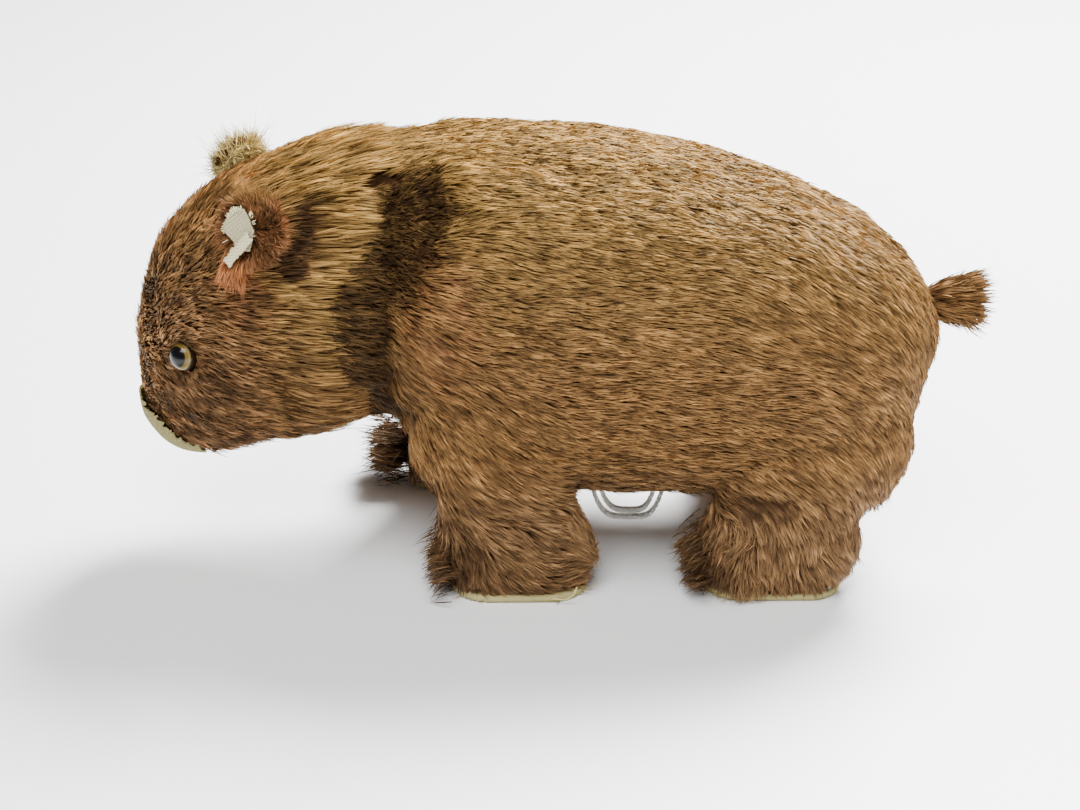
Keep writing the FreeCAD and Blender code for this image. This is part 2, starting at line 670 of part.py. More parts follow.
def click():
    """The pawl that stops the ratchet wheel turning back."""
    body = flat_body("click", "GreatX", "RatchetY", "GreatZ")
    x, z = click_place()
    nose_angle = math.radians(dim("ClickNoseAngle"))
    nose = (dim("ClickNose") * math.cos(nose_angle), dim("ClickNose") * math.sin(nose_angle))
    finger = sketch_on(body, "click_finger")
    add_slot(finger, (x, z), nose, dim("ClickHalf"))
    pad(body, finger, "click_finger_pad", "WheelThick")
    round_end = sketch_on(body, "click_round")
    add_circle(round_end, "ClickEye", "%.4f" % x, "%.4f" % z)
    pad(body, round_end, "click_round_pad", "WheelThick")
    hole = sketch_on(body, "click_hole")
    add_circle(hole, "ClickRivet + RunGap", "%.4f" % x, "%.4f" % z)
    body.Tip = pocket(body, hole, "click_hole_cut")
    keep(body, "click")


def wind_key():
    """The butterfly key: a tube on the arbor's end and two pierced wings."""
    tube = rod("key_tube", "KeyTube", "KeyStart", "KeyStart + KeyTubeLong", "GreatX", "GreatZ")
    middle_y = "KeyStart + KeyTubeLong + KeyWing / 2"
    web = box("key_web", ("GreatX - KeyWingThick / 2", "GreatX + KeyWingThick / 2"),
              ("KeyStart + KeyTubeLong - 1", middle_y + " + 4"),
              ("GreatZ - KeyWingOut", "GreatZ + KeyWingOut"))
    pieces = [tube, web]
    holes = [rod("key_bore", "WindRadius + FitGap", "KeyStart - 1", "KeyStart + KeyTubeLong - 0.9",
                 "GreatX", "GreatZ")]
    for name, height in (("upper", "GreatZ + KeyWingOut"), ("lower", "GreatZ - KeyWingOut")):
        for part, radius, thick in (("wing", "KeyWing", "KeyWingThick"),
                                    ("hole", "KeyWingHole", "KeyWingThick + 2")):
            disc = doc.addObject("Part::Cylinder", "key_%s_%s" % (name, part))
            bind(disc, "Radius", radius)
            bind(disc, "Height", thick)
            place(disc, "GreatX - (%s) / 2" % thick, middle_y, height, Rotation(Vector(0, 1, 0), 90))
            if part == "wing":
                pieces.append(disc)
            else:
                holes.append(disc)
    keep(cut("wind_key", fuse("key_solid", pieces), holes), "wind_key")


def key_bush():
    """The brass collar that lines the key's hole in the right flank."""
    sleeve = rod("bush_sleeve", "BushRadius", "BushInner", "BushFlangeY + 0.5", "GreatX", "GreatZ")
    flange = rod("bush_flange", "BushFlange", "BushFlangeY", "BushFlangeY + 1", "GreatX", "GreatZ")
    bore = rod("bush_bore", "WindRadius + RunGap", "BushInner - 1", "BushFlangeY + 2", "GreatX", "GreatZ")
    keep(cut("key_bush", fuse("bush_solid", [sleeve, flange]), [bore]), "key_bush")


# ---------------------------------------------------------------- running train
def second_shaft():
    """The second arbor, with its pinion in mesh with the great wheel, and the second wheel."""
    x, z = "%.4f" % SECOND[0], "%.4f" % SECOND[1]
    core = rod("second_core", "SecondRadius", "-ArborReach", "ArborReach", x, z)
    pinion_turn = heading(SECOND, GREAT) - HALF_PINION_PITCH
    pinion = gear_body("second_pinion", "PinionTeeth", "PinionThick", "SecondRadius - 0.2", x,
                       "GreatY + (PinionThick - WheelThick) / 2", z, pinion_turn)
    keep(fuse("second_arbor", [core, pinion]), "second_arbor")
    wheel = gear_body("second_wheel", "SecondTeeth", "WheelThick", "SecondRadius + FitGap", x, "SecondY", z,
                      heading(SECOND, CRANK), ("SecondWindow", "SecondWindowOut"))
    keep(wheel, "second_wheel")


def crank_shaft():
    """The crank arbor with its pinion, the crank wheel and a crank disc outside each plate."""
    x, z = "%.4f" % CRANK[0], "%.4f" % CRANK[1]
    core = rod("crank_core", "CrankRadius", "-(DiscInner + 1)", "DiscInner + 1", x, z)
    pinion_turn = heading(CRANK, SECOND) - HALF_PINION_PITCH
    pinion = gear_body("crank_pinion", "PinionTeeth", "PinionThick", "CrankRadius - 0.2", x,
                       "SecondY + (PinionThick - WheelThick) / 2", z, pinion_turn)
    keep(fuse("crank_arbor", [core, pinion]), "crank_arbor")
    wheel = gear_body("crank_wheel", "CrankTeeth", "WheelThick", "CrankRadius + FitGap", x, "CrankWheelY", z,
                      heading(CRANK, GOVERNOR), ("CrankWindow", "CrankWindowOut"))
    keep(wheel, "crank_wheel")
    for side, label in ((-1, "left_crank_disc"), (1, "right_crank_disc")):
        disc_span = side_span(side, "DiscInner", "DiscInner + 1")
        disc = rod(label + "_round", "DiscRadius", *disc_span, x, z)
        pin_span = side_span(side, "DiscInner + 0.5", "DiscInner + 1.6")
        pin = rod(label + "_pin", "PinRadius", *pin_span, "%s + %d * CrankThrow" % (x, side), z)
        bore_span = side_span(side, "DiscInner - 1", "DiscInner + 1.02")
        bore = rod(label + "_bore", "CrankRadius + FitGap", *bore_span, x, z)
        keep(cut(label, fuse(label + "_solid", [disc, pin]), [bore]), label)


def governor():
    """The fast last arbor and the two-winged fly that brakes it with air."""
    x, z = "%.4f" % GOVERNOR[0], "%.4f" % GOVERNOR[1]
    core = rod("governor_core", "GovernorRadius", "-ArborReach", "ArborReach", x, z)
    pinion_turn = heading(GOVERNOR, CRANK) - HALF_PINION_PITCH
    pinion = gear_body("governor_pinion", "PinionTeeth", "PinionThick - 1", "GovernorRadius - 0.2", x,
                       "CrankWheelY + 0.5", z, pinion_turn)
    keep(fuse("governor_arbor", [core, pinion]), "governor_arbor")
    hub = rod("fly_hub", "FlyHub", "FlyInner", "FlyOuter", x, z)
    vane = box("fly_vane", (x + " - FlyHalf", x + " + FlyHalf"), ("FlyInner", "FlyOuter"),
               (z + " - FlyThick / 2", z + " + FlyThick / 2"))
    bore = rod("fly_bore", "GovernorRadius + FitGap", "FlyInner - 1", "FlyOuter + 1", x, z)
    keep(cut("governor_fly", fuse("fly_solid", [hub, vane]), [bore]), "governor_fly")


# ---------------------------------------------------------------- legs
def leg_lever(leg):
    """The tin lever inside a leg: boss, strip, arm for the link, link pin and foot plate."""
    side, pivot, _, lean, up = LEGS[leg]
    name = leg + "_lever"
    y_high = "LeverInner + LeverThick" if side > 0 else "-LeverInner"
    strip = flat_body(name + "_strip", pivot, y_high, "LegZ", lean)
    sketch = sketch_on(strip, name + "_sketch")
    add_slot(sketch, (0, 0), (0, 6 - dim("LegZ")), dim("LeverHalf"))
    pad(strip, sketch, name + "_pad", "LeverThick")
    if up > 0:
        arm = sketch_on(strip, name + "_arm")
        add_slot(arm, (0, 0), (0, dim("ArmLong")), dim("EyeRadius"))
        pad(strip, arm, name + "_arm_pad", "LeverThick")
    hole = sketch_on(strip, name + "_hole")
    add_circle(hole, "LegShaft + RunGap")
    strip.Tip = pocket(strip, hole, name + "_hole_cut")
    pin_x, pin_z = arm_pin(leg)
    rod_inner = "FrontRodY" if up > 0 else "BackRodY"
    pin_span = side_span(side, rod_inner + " - 0.1", "LeverInner + 0.5")
    pin = rod(name + "_pin", "PinRadius", *pin_span, "%.4f" % pin_x, "%.4f" % pin_z)
    foot = "%.4f" % foot_centre(leg)
    tab_span = side_span(side, "LeverInner", "LeverInner + LeverThick")
    plate_low = "SoleThick + 0.1"
    tab = box(name + "_tab", (foot + " - 5", foot + " + 5"), tab_span, (plate_low, "7"))
    plate_span = side_span(side, "FootInner + 3.5", "FootOuter - 4")
    plate = box(name + "_foot", (foot + " - 10", foot + " + 10"), plate_span,
                (plate_low, plate_low + " + FootPlateThick"))
    keep(fuse(name, [strip, pin, tab, plate]), name)


def foot_sketch(body, name, leg, edge):
    """The footprint, a round-ended shape drawn in from the foot's outline by edge."""
    foot = dim(LEGS[leg][2])
    radius = (dim("FootOuter") - dim("FootInner")) / 2
    half = foot / 2 - radius
    sketch = sketch_on(body, name)
    add_slot(sketch, (-half, 0), (half, 0), radius - edge)
    return sketch


def leg_plush(leg):
    """The plush-covered pad of a leg: a round foot and a flat hip that turns on the leg's pivot."""
    side, pivot, _, lean, _ = LEGS[leg]
    name = leg + "_leg_plush"
    centre_y = "%d * (FootInner + FootOuter) / 2" % side
    foot_x = "%.4f" % foot_centre(leg)
    foot = upright_body(name + "_foot", foot_x, centre_y, "SoleThick + 0.1")
    footprint = foot_sketch(foot, name + "_foot_sketch", leg, 0.0)
    pad(foot, footprint, name + "_foot_pad", "FootTop - SoleThick - 0.1")
    block = foot.Tip
    block.recompute(True)
    heights = [face.CenterOfMass.z for face in block.Shape.Faces]
    fillet = foot.newObject("PartDesign::Fillet", name + "_foot_round")
    fillet.Base = (block, ["Face%d" % (heights.index(max(heights)) + 1)])
    bind(fillet, "Radius", "FootRound")
    foot.Tip = fillet
    y_high = "HipOuter" if side > 0 else "-HipInner"
    hip = flat_body(name + "_hip", pivot, y_high, "LegZ")
    hip_sketch = sketch_on(hip, name + "_hip_sketch")
    add_slot(hip_sketch, (0, 0), (foot_centre(leg) - dim(pivot), 13.5 - dim("LegZ")), dim("HipRadius") - 1.2)
    pad(hip, hip_sketch, name + "_hip_pad", "HipOuter - HipInner")
    cap = flat_body(name + "_cap", pivot, y_high, "LegZ")
    cap_sketch = sketch_on(cap, name + "_cap_sketch")
    add_circle(cap_sketch, "HipRadius")
    pad(cap, cap_sketch, name + "_cap_pad", "HipOuter - HipInner")
    low = min(foot_centre(leg), dim(pivot)) - 5.5
    high = max(foot_centre(leg), dim(pivot)) + 5.5
    slot_span = side_span(side, "LeverInner - 0.3", "LeverInner + LeverThick + 0.3")
    slot = box(name + "_slot", ("%.3f" % low, "%.3f" % high), slot_span, ("SoleThick", "LegZ + 6"))
    plate_span = side_span(side, "FootInner + 3.3", "FootOuter - 3.8")
    plate = box(name + "_plate_space", (foot_x + " - 10.2", foot_x + " + 10.2"), plate_span,
                ("SoleThick", "SoleThick + FootPlateThick + 0.3"))
    shaft_span = side_span(side, "20", "LeverInner + 3.2")
    shaft = rod(name + "_shaft_space", "ClipRadius + 0.6", *shaft_span, pivot, "LegZ")
    keep(cut(name, fuse(name + "_solid", [foot, hip, cap]), [slot, plate, shaft]), name)


def sole(leg):
    """The cloth-covered card under a foot."""
    side = LEGS[leg][0]
    name = leg + "_sole"
    body = upright_body(name, "%.4f" % foot_centre(leg), "%d * (FootInner + FootOuter) / 2" % side, "0")
    pad(body, foot_sketch(body, name + "_sketch", leg, 0.8), name + "_pad", "SoleThick")
    keep(body, name)


def link_rod(leg):
    """The flat link from a crank pin to the leg's arm."""
    side, _, _, _, up = LEGS[leg]
    name = leg + "_link"
    inner = "FrontRodY" if up > 0 else "BackRodY"
    y_high = "%s + RodThick" % inner if side > 0 else "-%s" % inner
    pin = arm_pin(leg)
    crank_pin = (CRANK[0] + side * dim("CrankThrow"), CRANK[1])
    body = flat_body(name, "0", y_high, "0")
    strip = sketch_on(body, name + "_strip")
    add_slot(strip, pin, crank_pin, dim("EyeRadius") - 0.5)
    pad(body, strip, name + "_strip_pad", "RodThick")
    for end, (x, z) in (("arm", pin), ("crank", crank_pin)):
        eye = sketch_on(body, "%s_%s_eye" % (name, end))
        add_circle(eye, "EyeRadius", "%.4f" % x, "%.4f" % z)
        pad(body, eye, "%s_%s_pad" % (name, end), "RodThick")
    holes = sketch_on(body, name + "_holes")
    for x, z in (pin, crank_pin):
        add_circle(holes, "PinRadius + RunGap", "%.4f" % x, "%.4f" % z)
    body.Tip = pocket(body, holes, name + "_holes_cut")
    keep(body, name)


# ---------------------------------------------------------------- head
def eye_place(side, outer):
    """The eye's centre, set into the head so that a third of the ball stands proud."""
    x, z = dim("EyeX"), dim("EyeZ")
    probe = Part.makeLine(Vector(x, 0, z), Vector(x, side * 40, z)).common(outer)
    surface = max(abs(probe.BoundBox.YMin), abs(probe.BoundBox.YMax))
    return x, side * (surface - dim("EyeBall") * 0.55), z


def glass_eye(label, side, centre, radius, shank):
    """A glass ball on a wire shank; the same form, a little larger, makes its hole."""
    ball = doc.addObject("Part::Sphere", label + "_ball")
    bind(ball, "Radius", radius)
    x, y, z = ("%.4f" % value for value in centre)
    place(ball, x, y, z, Rotation())
    ball_y = "%.4f" % abs(centre[1])
    shank_span = side_span(side, ball_y + " - EyeShankLong", ball_y)
    return fuse(label, [ball, rod(label + "_shank", shank, *shank_span, x, z)])


def ear(label, side, head):
    """A round ear that stands on the head, facing forwards and outwards."""
    disc = doc.addObject("Part::Cylinder", label + "_disc")
    bind(disc, "Radius", "EarRadius")
    bind(disc, "Height", "EarThick")
    facing = Rotation(Vector(0, 0, 1), Vector(-0.7, side * 0.7, 0.15))
    place(disc, "EarX", "%d * EarOut" % side, "EarZ", facing)
    disc.recompute(True)
    rounded = doc.addObject("Part::Fillet", label + "_rounded")
    rounded.Base = disc
    circles = [n + 1 for n, edge in enumerate(disc.Shape.Edges) if len(edge.Vertexes) == 1]
    rounded.Edges = [(number, dim("EarRound"), dim("EarRound")) for number in circles]
    keep(cut(label, rounded, [head]), label)


def head():
    outer = form(HEAD_FORM, 0.0)
    outer_feature = feature("head_outer", form(HEAD_FORM, -0.06))
    sides = {"left": -1, "right": 1}
    plush_tools = []
    for name, side in sides.items():
        centre = eye_place(side, outer)
        keep(glass_eye(name + "_eye", side, centre, "EyeBall", "EyeShank"), name + "_eye")
        socket = glass_eye(name + "_eye_socket", side, centre, "EyeBall + RunGap", "EyeShank + RunGap")
        plush_tools.append(socket)
        ear(name + "_ear", side, outer_feature)
    inner = form(HEAD_FORM, dim("PlushThick"))
    back_opening = box("head_back_opening", ("HeadBack - 6", "HeadBack + 6"),
                       ("-BackOpenHalf", "BackOpenHalf"), ("NeckZ - BackOpenLow", "NeckZ + BackOpenHigh"))
    pile = feature("head_pile", outer.cut(inner))
    keep(cut("head_plush", pile, plush_tools + [back_opening]), "head_plush")
    shell_inset = dim("PlushThick") + dim("PlushGap")
    tin = form(HEAD_FORM, shell_inset).cut(form(HEAD_FORM, shell_inset + dim("HeadTin")))
    keep(cut("head_shell", feature("head_tin", tin), plush_tools), "head_shell")
    patch = form(HEAD_FORM, -dim("NoseThick")).cut(form(HEAD_FORM, -0.06))
    nose_box = box("nose_box", ("-110", "NoseBack"), ("-NoseHalf", "NoseHalf"), ("NoseLow", "NoseTop"))
    keep(common("nose_patch", feature("nose_cloth", patch), nose_box), "nose_patch")


def head_hinge():
    """The sleeve on the neck pin and the flange that carries the head's shell."""
    shell_back = HEAD_FORM[0][0] - dim("PlushThick") - dim("PlushGap")
    face = "%.3f" % (shell_back + 0.05)
    sleeve = rod("hinge_sleeve", "HingeSleeve", "-(NeckLug - 0.1)", "NeckLug - 0.1", "NeckX", "NeckZ")
    web = box("hinge_web", (face, "NeckX"), ("-HingeWebHalf", "HingeWebHalf"),
              ("NeckZ - HingeThick / 2", "NeckZ + HingeThick / 2"))
    flange = box("hinge_flange", (face, face + " + FlangeThick"), ("-FlangeHalf", "FlangeHalf"),
                 ("NeckZ - FlangeLow", "NeckZ + FlangeHigh"))
    bore = rod("hinge_bore", "NeckPin + RunGap", "-20", "20", "NeckX", "NeckZ")
    keep(cut("head_hinge", fuse("hinge_solid", [sleeve, web, flange]), [bore]), "head_hinge")


# ---------------------------------------------------------------- build
body_shells()
body_plush()
tail()
belly_string()
frame_plate("left_frame_plate", "-PlateInner")
frame_plate("right_frame_plate", "PlateInner + PlateThick")
frame_pillars()
shell_standoffs()
leg_shafts()
neck_bracket()
mainspring()
winding_arbor()
ratchet_wheel()
great_wheel()
click()
wind_key()
key_bush()
second_shaft()
crank_shaft()
governor()
for leg_name in LEGS:
    leg_lever(leg_name)
    leg_plush(leg_name)
    sole(leg_name)
    link_rod(leg_name)
head()
head_hinge()
doc.recompute()

failed = [item.Name for item in doc.Objects if "Invalid" in item.State or "Error" in item.State]
if failed:
    raise RuntimeError("objects that failed: %s" % failed)
for label, item in nodes.items():
    if item.Shape.isNull() or not item.Shape.isValid():
        raise RuntimeError("the shape of %s is null or not valid" % label)

os.makedirs("parts", exist_ok=True)
for label, item in nodes.items():
    written = item.Shape.copy()
    written.translate(Vector(dim("FrameX"), dim("FrameY"), 0))
    written.exportStep(os.path.join("parts", label + ".step"))
    print("%-24s solids %d  volume %9.1f" % (label, len(written.Solids), written.Volume))
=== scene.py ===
import json
import math

import bpy
import numpy as np
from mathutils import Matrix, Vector
from mathutils.kdtree import KDTree


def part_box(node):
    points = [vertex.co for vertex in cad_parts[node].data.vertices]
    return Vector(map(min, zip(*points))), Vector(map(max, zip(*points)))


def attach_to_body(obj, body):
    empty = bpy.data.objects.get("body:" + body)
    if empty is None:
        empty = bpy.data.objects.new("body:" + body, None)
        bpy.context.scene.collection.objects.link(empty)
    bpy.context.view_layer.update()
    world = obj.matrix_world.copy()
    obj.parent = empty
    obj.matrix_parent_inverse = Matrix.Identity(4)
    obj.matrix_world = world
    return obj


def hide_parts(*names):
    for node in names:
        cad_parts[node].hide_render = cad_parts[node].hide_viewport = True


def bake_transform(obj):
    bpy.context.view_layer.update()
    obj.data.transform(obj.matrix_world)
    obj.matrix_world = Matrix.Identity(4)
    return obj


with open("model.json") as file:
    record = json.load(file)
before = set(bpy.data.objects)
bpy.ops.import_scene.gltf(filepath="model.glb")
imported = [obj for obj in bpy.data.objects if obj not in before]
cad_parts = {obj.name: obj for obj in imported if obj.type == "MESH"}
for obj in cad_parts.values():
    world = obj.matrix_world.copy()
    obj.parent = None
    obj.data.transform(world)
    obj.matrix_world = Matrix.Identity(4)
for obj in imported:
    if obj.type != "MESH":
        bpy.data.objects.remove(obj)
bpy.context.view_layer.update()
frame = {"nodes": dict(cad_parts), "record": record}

MM = 0.001
AXES = np.eye(3)
LEFT, RIGHT = -1, 1
LEGS = {"left_front": LEFT, "right_front": RIGHT, "left_rear": LEFT, "right_rear": RIGHT}
PIVOTS = {joint["name"]: joint["pos_m"] for joint in frame["record"]["behaviour"]["joints"]}

# The toy's own axes: its middle plane is y = 0, and x = 0 lies half-way between the leg pivots.
FRONT_PIVOT, REAR_PIVOT = PIVOTS["left_front_swing"], PIVOTS["left_rear_swing"]
ORIGIN = np.array([(FRONT_PIVOT[0] + REAR_PIVOT[0]) / 2, FRONT_PIVOT[1], 0])


def own(corner):
    """A place in the row frame as millimetres on the toy's own axes."""
    return (np.array(corner) - ORIGIN) / MM


def row(points):
    """Millimetres on the toy's own axes as a place in the row frame."""
    return np.asarray(points) * MM + ORIGIN


def node_middle(node):
    """The middle and the half sizes of a CAD node's box, in millimetres on the toy's own axes."""
    low, high = (own(corner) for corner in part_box(node))
    return (low + high) / 2, (high - low) / 2


def amount(quick, full):
    return full


# ---- colours
def linear(*rgb):
    """An 8-bit display colour as scene-linear values."""
    return np.array([(c / 255) / 12.92 if c <= 10 else (((c / 255) + 0.055) / 1.055) ** 2.4 for c in rgb])


GOLD = linear(170, 133, 72)
TAN = linear(162, 120, 66)
BROWN = linear(144, 106, 62)
RED_BROWN = linear(146, 111, 74)
FACE_BROWN = linear(136, 100, 64)
DARK = linear(46, 30, 18)
# The strands' roots: partly the pile's own darker roots, partly painted shade deep in the pile.
ROOT = linear(74, 49, 28)
STRAW = linear(214, 192, 130)
ORANGE = linear(176, 112, 68)
EAR_RED = linear(160, 108, 68)
CREAM = linear(232, 222, 180)
SOLE = linear(206, 192, 134)
NOSE = linear(200, 188, 128)
WHITE_COTTON = linear(250, 249, 242)
# The glass eye from its middle outwards.
PUPIL, AMBER, PALE_AMBER, EYE_RIM = linear(8, 8, 9), linear(112, 88, 38), linear(128, 114, 66), linear(40, 26, 14)


# ---- numbers on arrays
def unit(vectors):
    vectors = np.asarray(vectors, dtype=float)
    length = np.linalg.norm(vectors, axis=-1, keepdims=True)
    return vectors / np.maximum(length, 1e-12)


def rise(values, low, high):
    """0 up to low, 1 from high on, and smooth between them."""
    share = np.clip((values - low) / (high - low), 0, 1)
    return share * share * (3 - 2 * share)


def fall(values, low, high):
    return 1 - rise(values, low, high)


def near(points, centre, radii):
    """1 at a centre, falling smoothly to 0 at these radii from it."""
    apart = np.linalg.norm((points - np.array(centre)) / np.array(radii), axis=1)
    return fall(apart, 0.55, 1)


def fold_over(points):
    """The points with the left side laid over the right one."""
    return points * [1, 0, 1] + np.abs(points) * [0, 1, 0]


def mixed(first, second, share):
    """Each point's colour, this share of the way from the first to the second."""
    share = share.reshape(-1, 1)
    return first * (1 - share) + second * share


def out_from(base, axes, *amounts):
    """Places at these distances from a base along the axes."""
    return base + sum(np.multiply.outer(amount, axis) for amount, axis in zip(amounts, axes))


def oval(base, axes, angle, wide=1, taller=1, *out):
    """Places on an oval across the first two axes, and this far out along the third."""
    return out_from(base, axes, wide * np.cos(angle), wide * taller * np.sin(angle), *out)


def turns(count):
    """Angles evenly round a circle."""
    return np.linspace(0, 2 * math.pi, count, endpoint=False)


def spins(rng, count=None):
    return rng.random(count) * 2 * math.pi


def squarer(values, power):
    """Sines or cosines whose circle a power below 1 makes squarer."""
    return np.sign(values) * np.abs(values) ** power


def noise(points, size, seed):
    """Smooth noise from -1 to 1, with features of about this size in millimetres."""
    scaled = points / size + 1000
    cell = np.floor(scaled).astype(np.int64)
    part = scaled - cell
    part = part * part * (3 - 2 * part)
    total = np.zeros(len(points))
    for corner in range(8):
        step = np.array([corner & 1, (corner >> 1) & 1, (corner >> 2) & 1])
        key = (cell + step) @ np.array([73856093, 19349663, 83492791]) + seed * 2654435761
        key = (key ^ (key >> 13)) * 1274126177
        value = ((key ^ (key >> 16)) & 0xFFFF) / 32767.5 - 1
        total += value * np.prod(np.where(step == 1, part, 1 - part), axis=1)
    return total


# ---- objects
def add_object(name, data):
    item = bpy.data.objects.new(name, data)
    bpy.context.scene.collection.objects.link(item)
    return item


def set_colours(mesh, rgb):
    """One colour for each vertex, kept in the attribute that the materials read."""
    rgba = np.concatenate([np.clip(rgb, 0, 1), np.ones((len(rgb), 1))], axis=1)
    attribute = mesh.color_attributes.new("Pile", "FLOAT_COLOR", "POINT")
    attribute.data.foreach_set("color", rgba.reshape(-1))


def mesh_object(name, points, faces, material=None, smooth=True, colours=None):
    """A new object from points on the toy's own axes and faces."""
    mesh = bpy.data.meshes.new(name)
    mesh.from_pydata(row(points).tolist(), [], [tuple(int(i) for i in face) for face in faces])
    mesh.update()
    if material:
        mesh.materials.append(material)
    if smooth:
        mesh.polygons.foreach_set("use_smooth", [True] * len(mesh.polygons))
    if colours is not None:
        set_colours(mesh, colours)
    return add_object(name, mesh)


def baked(item):
    """Put the mesh as its modifiers leave it in place of the modifiers."""
    graph = bpy.context.evaluated_depsgraph_get()
    mesh = bpy.data.meshes.new_from_object(item.evaluated_get(graph))
    item.modifiers.clear()
    old = item.data
    item.data = mesh
    bpy.data.meshes.remove(old)


class Shapes:
    """Simple shapes gathered to be made into one object."""

    def __init__(self):
        self.points, self.faces, self.colours, self.count = [], [], [], 0

    def add(self, points, faces, colour=(1, 1, 1)):
        colour = np.asarray(colour, dtype=float)
        self.points.append(points)
        self.colours.append(np.broadcast_to(colour, points.shape) if colour.ndim < 2 else colour)
        self.faces.extend([tuple(i + self.count for i in face) for face in faces])
        self.count += len(points)
        return self

    def make(self, name, material=None):
        return mesh_object(name, np.concatenate(self.points), self.faces, material,
                           colours=np.concatenate(self.colours))

    def wear(self, name, material, region, slot="plush", node=None):
        """Make the object, which follows its region and takes a CAD node's place."""
        item = self.make(name, material)
        attach(item, region)
        if node:
            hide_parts(node)


# ---- materials
def new_material(name, **settings):
    """A material with its shader's inputs set, its node tree and its shader."""
    material = bpy.data.materials.new(name)
    material.use_nodes = True
    shader = next(n for n in material.node_tree.nodes if n.type == "BSDF_PRINCIPLED")
    for key, value in settings.items():
        shader.inputs[key.replace("_", " ")].default_value = value
    return material, material.node_tree, shader


def texture(tree, scale, detail=2):
    """The factor of a noise texture that sticks to the object."""
    place = tree.nodes.new("ShaderNodeTexCoord")
    item = tree.nodes.new("ShaderNodeTexNoise")
    item.inputs["Scale"].default_value = scale
    item.inputs["Detail"].default_value = detail
    tree.links.new(place.outputs["Object"], item.inputs["Vector"])
    return item.outputs["Fac"]


def spread(tree, factor, low, high):
    """A factor from 0 to 1 spread from low to high."""
    level = tree.nodes.new("ShaderNodeMapRange")
    level.inputs["To Min"].default_value = low
    level.inputs["To Max"].default_value = high
    tree.links.new(factor, level.inputs["Value"])
    return level.outputs["Result"]


def painted(name, scale, low, high, **settings):
    """A material coloured by the mesh's own colours, made a little uneven by noise."""
    material, tree, shader = new_material(name, **settings)
    colour = tree.nodes.new("ShaderNodeVertexColor")
    colour.layer_name = "Pile"
    mix = tree.nodes.new("ShaderNodeVectorMath")
    mix.operation = "SCALE"
    tree.links.new(colour.outputs["Color"], mix.inputs[0])
    tree.links.new(spread(tree, texture(tree, scale), low, high), mix.inputs["Scale"])
    tree.links.new(mix.outputs["Vector"], shader.inputs["Base Color"])
    return material


def noisy(name, first, second, scale, **settings):
    """A material whose colour wanders between two colours."""
    material, tree, shader = new_material(name, **settings)
    ramp = tree.nodes.new("ShaderNodeValToRGB")
    for element, position, colour in zip(ramp.color_ramp.elements, (0.3, 0.7), (first, second)):
        element.position = position
        element.color = (*colour, 1)
    tree.links.new(texture(tree, scale, 4), ramp.inputs["Fac"])
    tree.links.new(ramp.outputs["Color"], shader.inputs["Base Color"])
    return material


PILE = painted("mohair_pile", 900, 0.85, 1.15, Roughness=0.6, Specular_IOR_Level=0.12)
BACKING = noisy("plush_backing", ROOT * 0.35, ROOT * 0.8, 700, Roughness=0.95, Specular_IOR_Level=0.1)
CLOTH = painted("worn_cloth", 1500, 0.85, 1.1, Roughness=0.9, Specular_IOR_Level=0.15)
COTTON = painted("cotton_string", 2500, 0.9, 1.1, Roughness=0.85, Specular_IOR_Level=0.2)
GLASS_EYE = painted("glass_eye", 3000, 0.85, 1.15, Roughness=0.3, Specular_IOR_Level=0.1, Coat_Weight=0.4,
                    Coat_Roughness=0.02)
BRASS = noisy("brass", (0.52, 0.36, 0.12), (0.72, 0.53, 0.22), 300, Metallic=1, Roughness=0.32)
STEEL = noisy("steel", (0.38, 0.38, 0.37), (0.58, 0.58, 0.57), 400, Metallic=1, Roughness=0.34)
TIN = noisy("tinplate", (0.34, 0.32, 0.28), (0.50, 0.48, 0.44), 250, Metallic=0.85, Roughness=0.5)


def dress_metal():
    """Materials for the CAD nodes that stay in view: the motor, the tin shells and the key."""
    slots = {part["node"]: part["material_slot"] for part in frame["record"]["subparts"]}
    looks = {"brass": BRASS, "steel": STEEL, "tin": TIN}
    for name, item in frame["nodes"].items():
        item.data.materials.clear()
        item.data.materials.append(looks.get(slots.get(name), STEEL))


# ---- forms of the body and the head
# Stations in millimetres: x, top, bottom, half width, widening towards the top.
BODY_FORM = [(-52, 87.8, 28, 25, 0), (-42, 89.8, 20.5, 29, 0), (-30, 90.6, 16, 31.5, 0),
             (-12, 89.2, 13.2, 32.5, 0), (10, 84.9, 13.2, 33, 0), (30, 78.5, 14, 32, 0), (45, 71.2, 18, 29, 0),
             (54, 64.2, 28, 23, 0), (59.5, 56, 42, 12, 0)]
HEAD_FORM = [(-53.5, 87.6, 29, 25, 0), (-62, 86.2, 25.5, 25, 0.05), (-71, 84.2, 22.5, 24, 0.15),
             (-80, 81, 20.2, 22.5, 0.25), (-88, 76.2, 18.4, 19.8, 0.32), (-95.5, 69.5, 18.6, 16, 0.35),
             (-100.3, 59.5, 21.4, 11.5, 0.3), (-103, 48, 26, 7.5, 0.1)]
SKIN_INSET = 2.5
RING_POINTS = 48
ROUNDNESS = 2.4


def ring(x, top, bottom, half_width, widening):
    angle = turns(RING_POINTS)
    height = squarer(np.sin(angle), 2 / ROUNDNESS)
    width = half_width * (1 + widening * height)
    return np.stack([np.full(RING_POINTS, x), width * squarer(np.cos(angle), 2 / ROUNDNESS),
                     (top + bottom) / 2 + (top - bottom) / 2 * height], axis=1)


def loft(rings):
    """Points and faces of a closed form through rings of equal count."""
    count = len(rings[0])
    ends = [rings[0].mean(axis=0, keepdims=True), rings[-1].mean(axis=0, keepdims=True)]
    points = np.concatenate(list(rings) + ends)
    number = np.arange(count)
    after = (number + 1) % count
    faces = []
    for low in range(0, (len(rings) - 1) * count, count):
        faces += np.stack([low + number, low + after, low + count + after, low + count + number], axis=1).tolist()
    first, last, top = len(points) - 2, len(points) - 1, (len(rings) - 1) * count
    for here, there in zip(number.tolist(), after.tolist()):
        faces += [(first, there, here), (last, top + here, top + there)]
    return points, faces


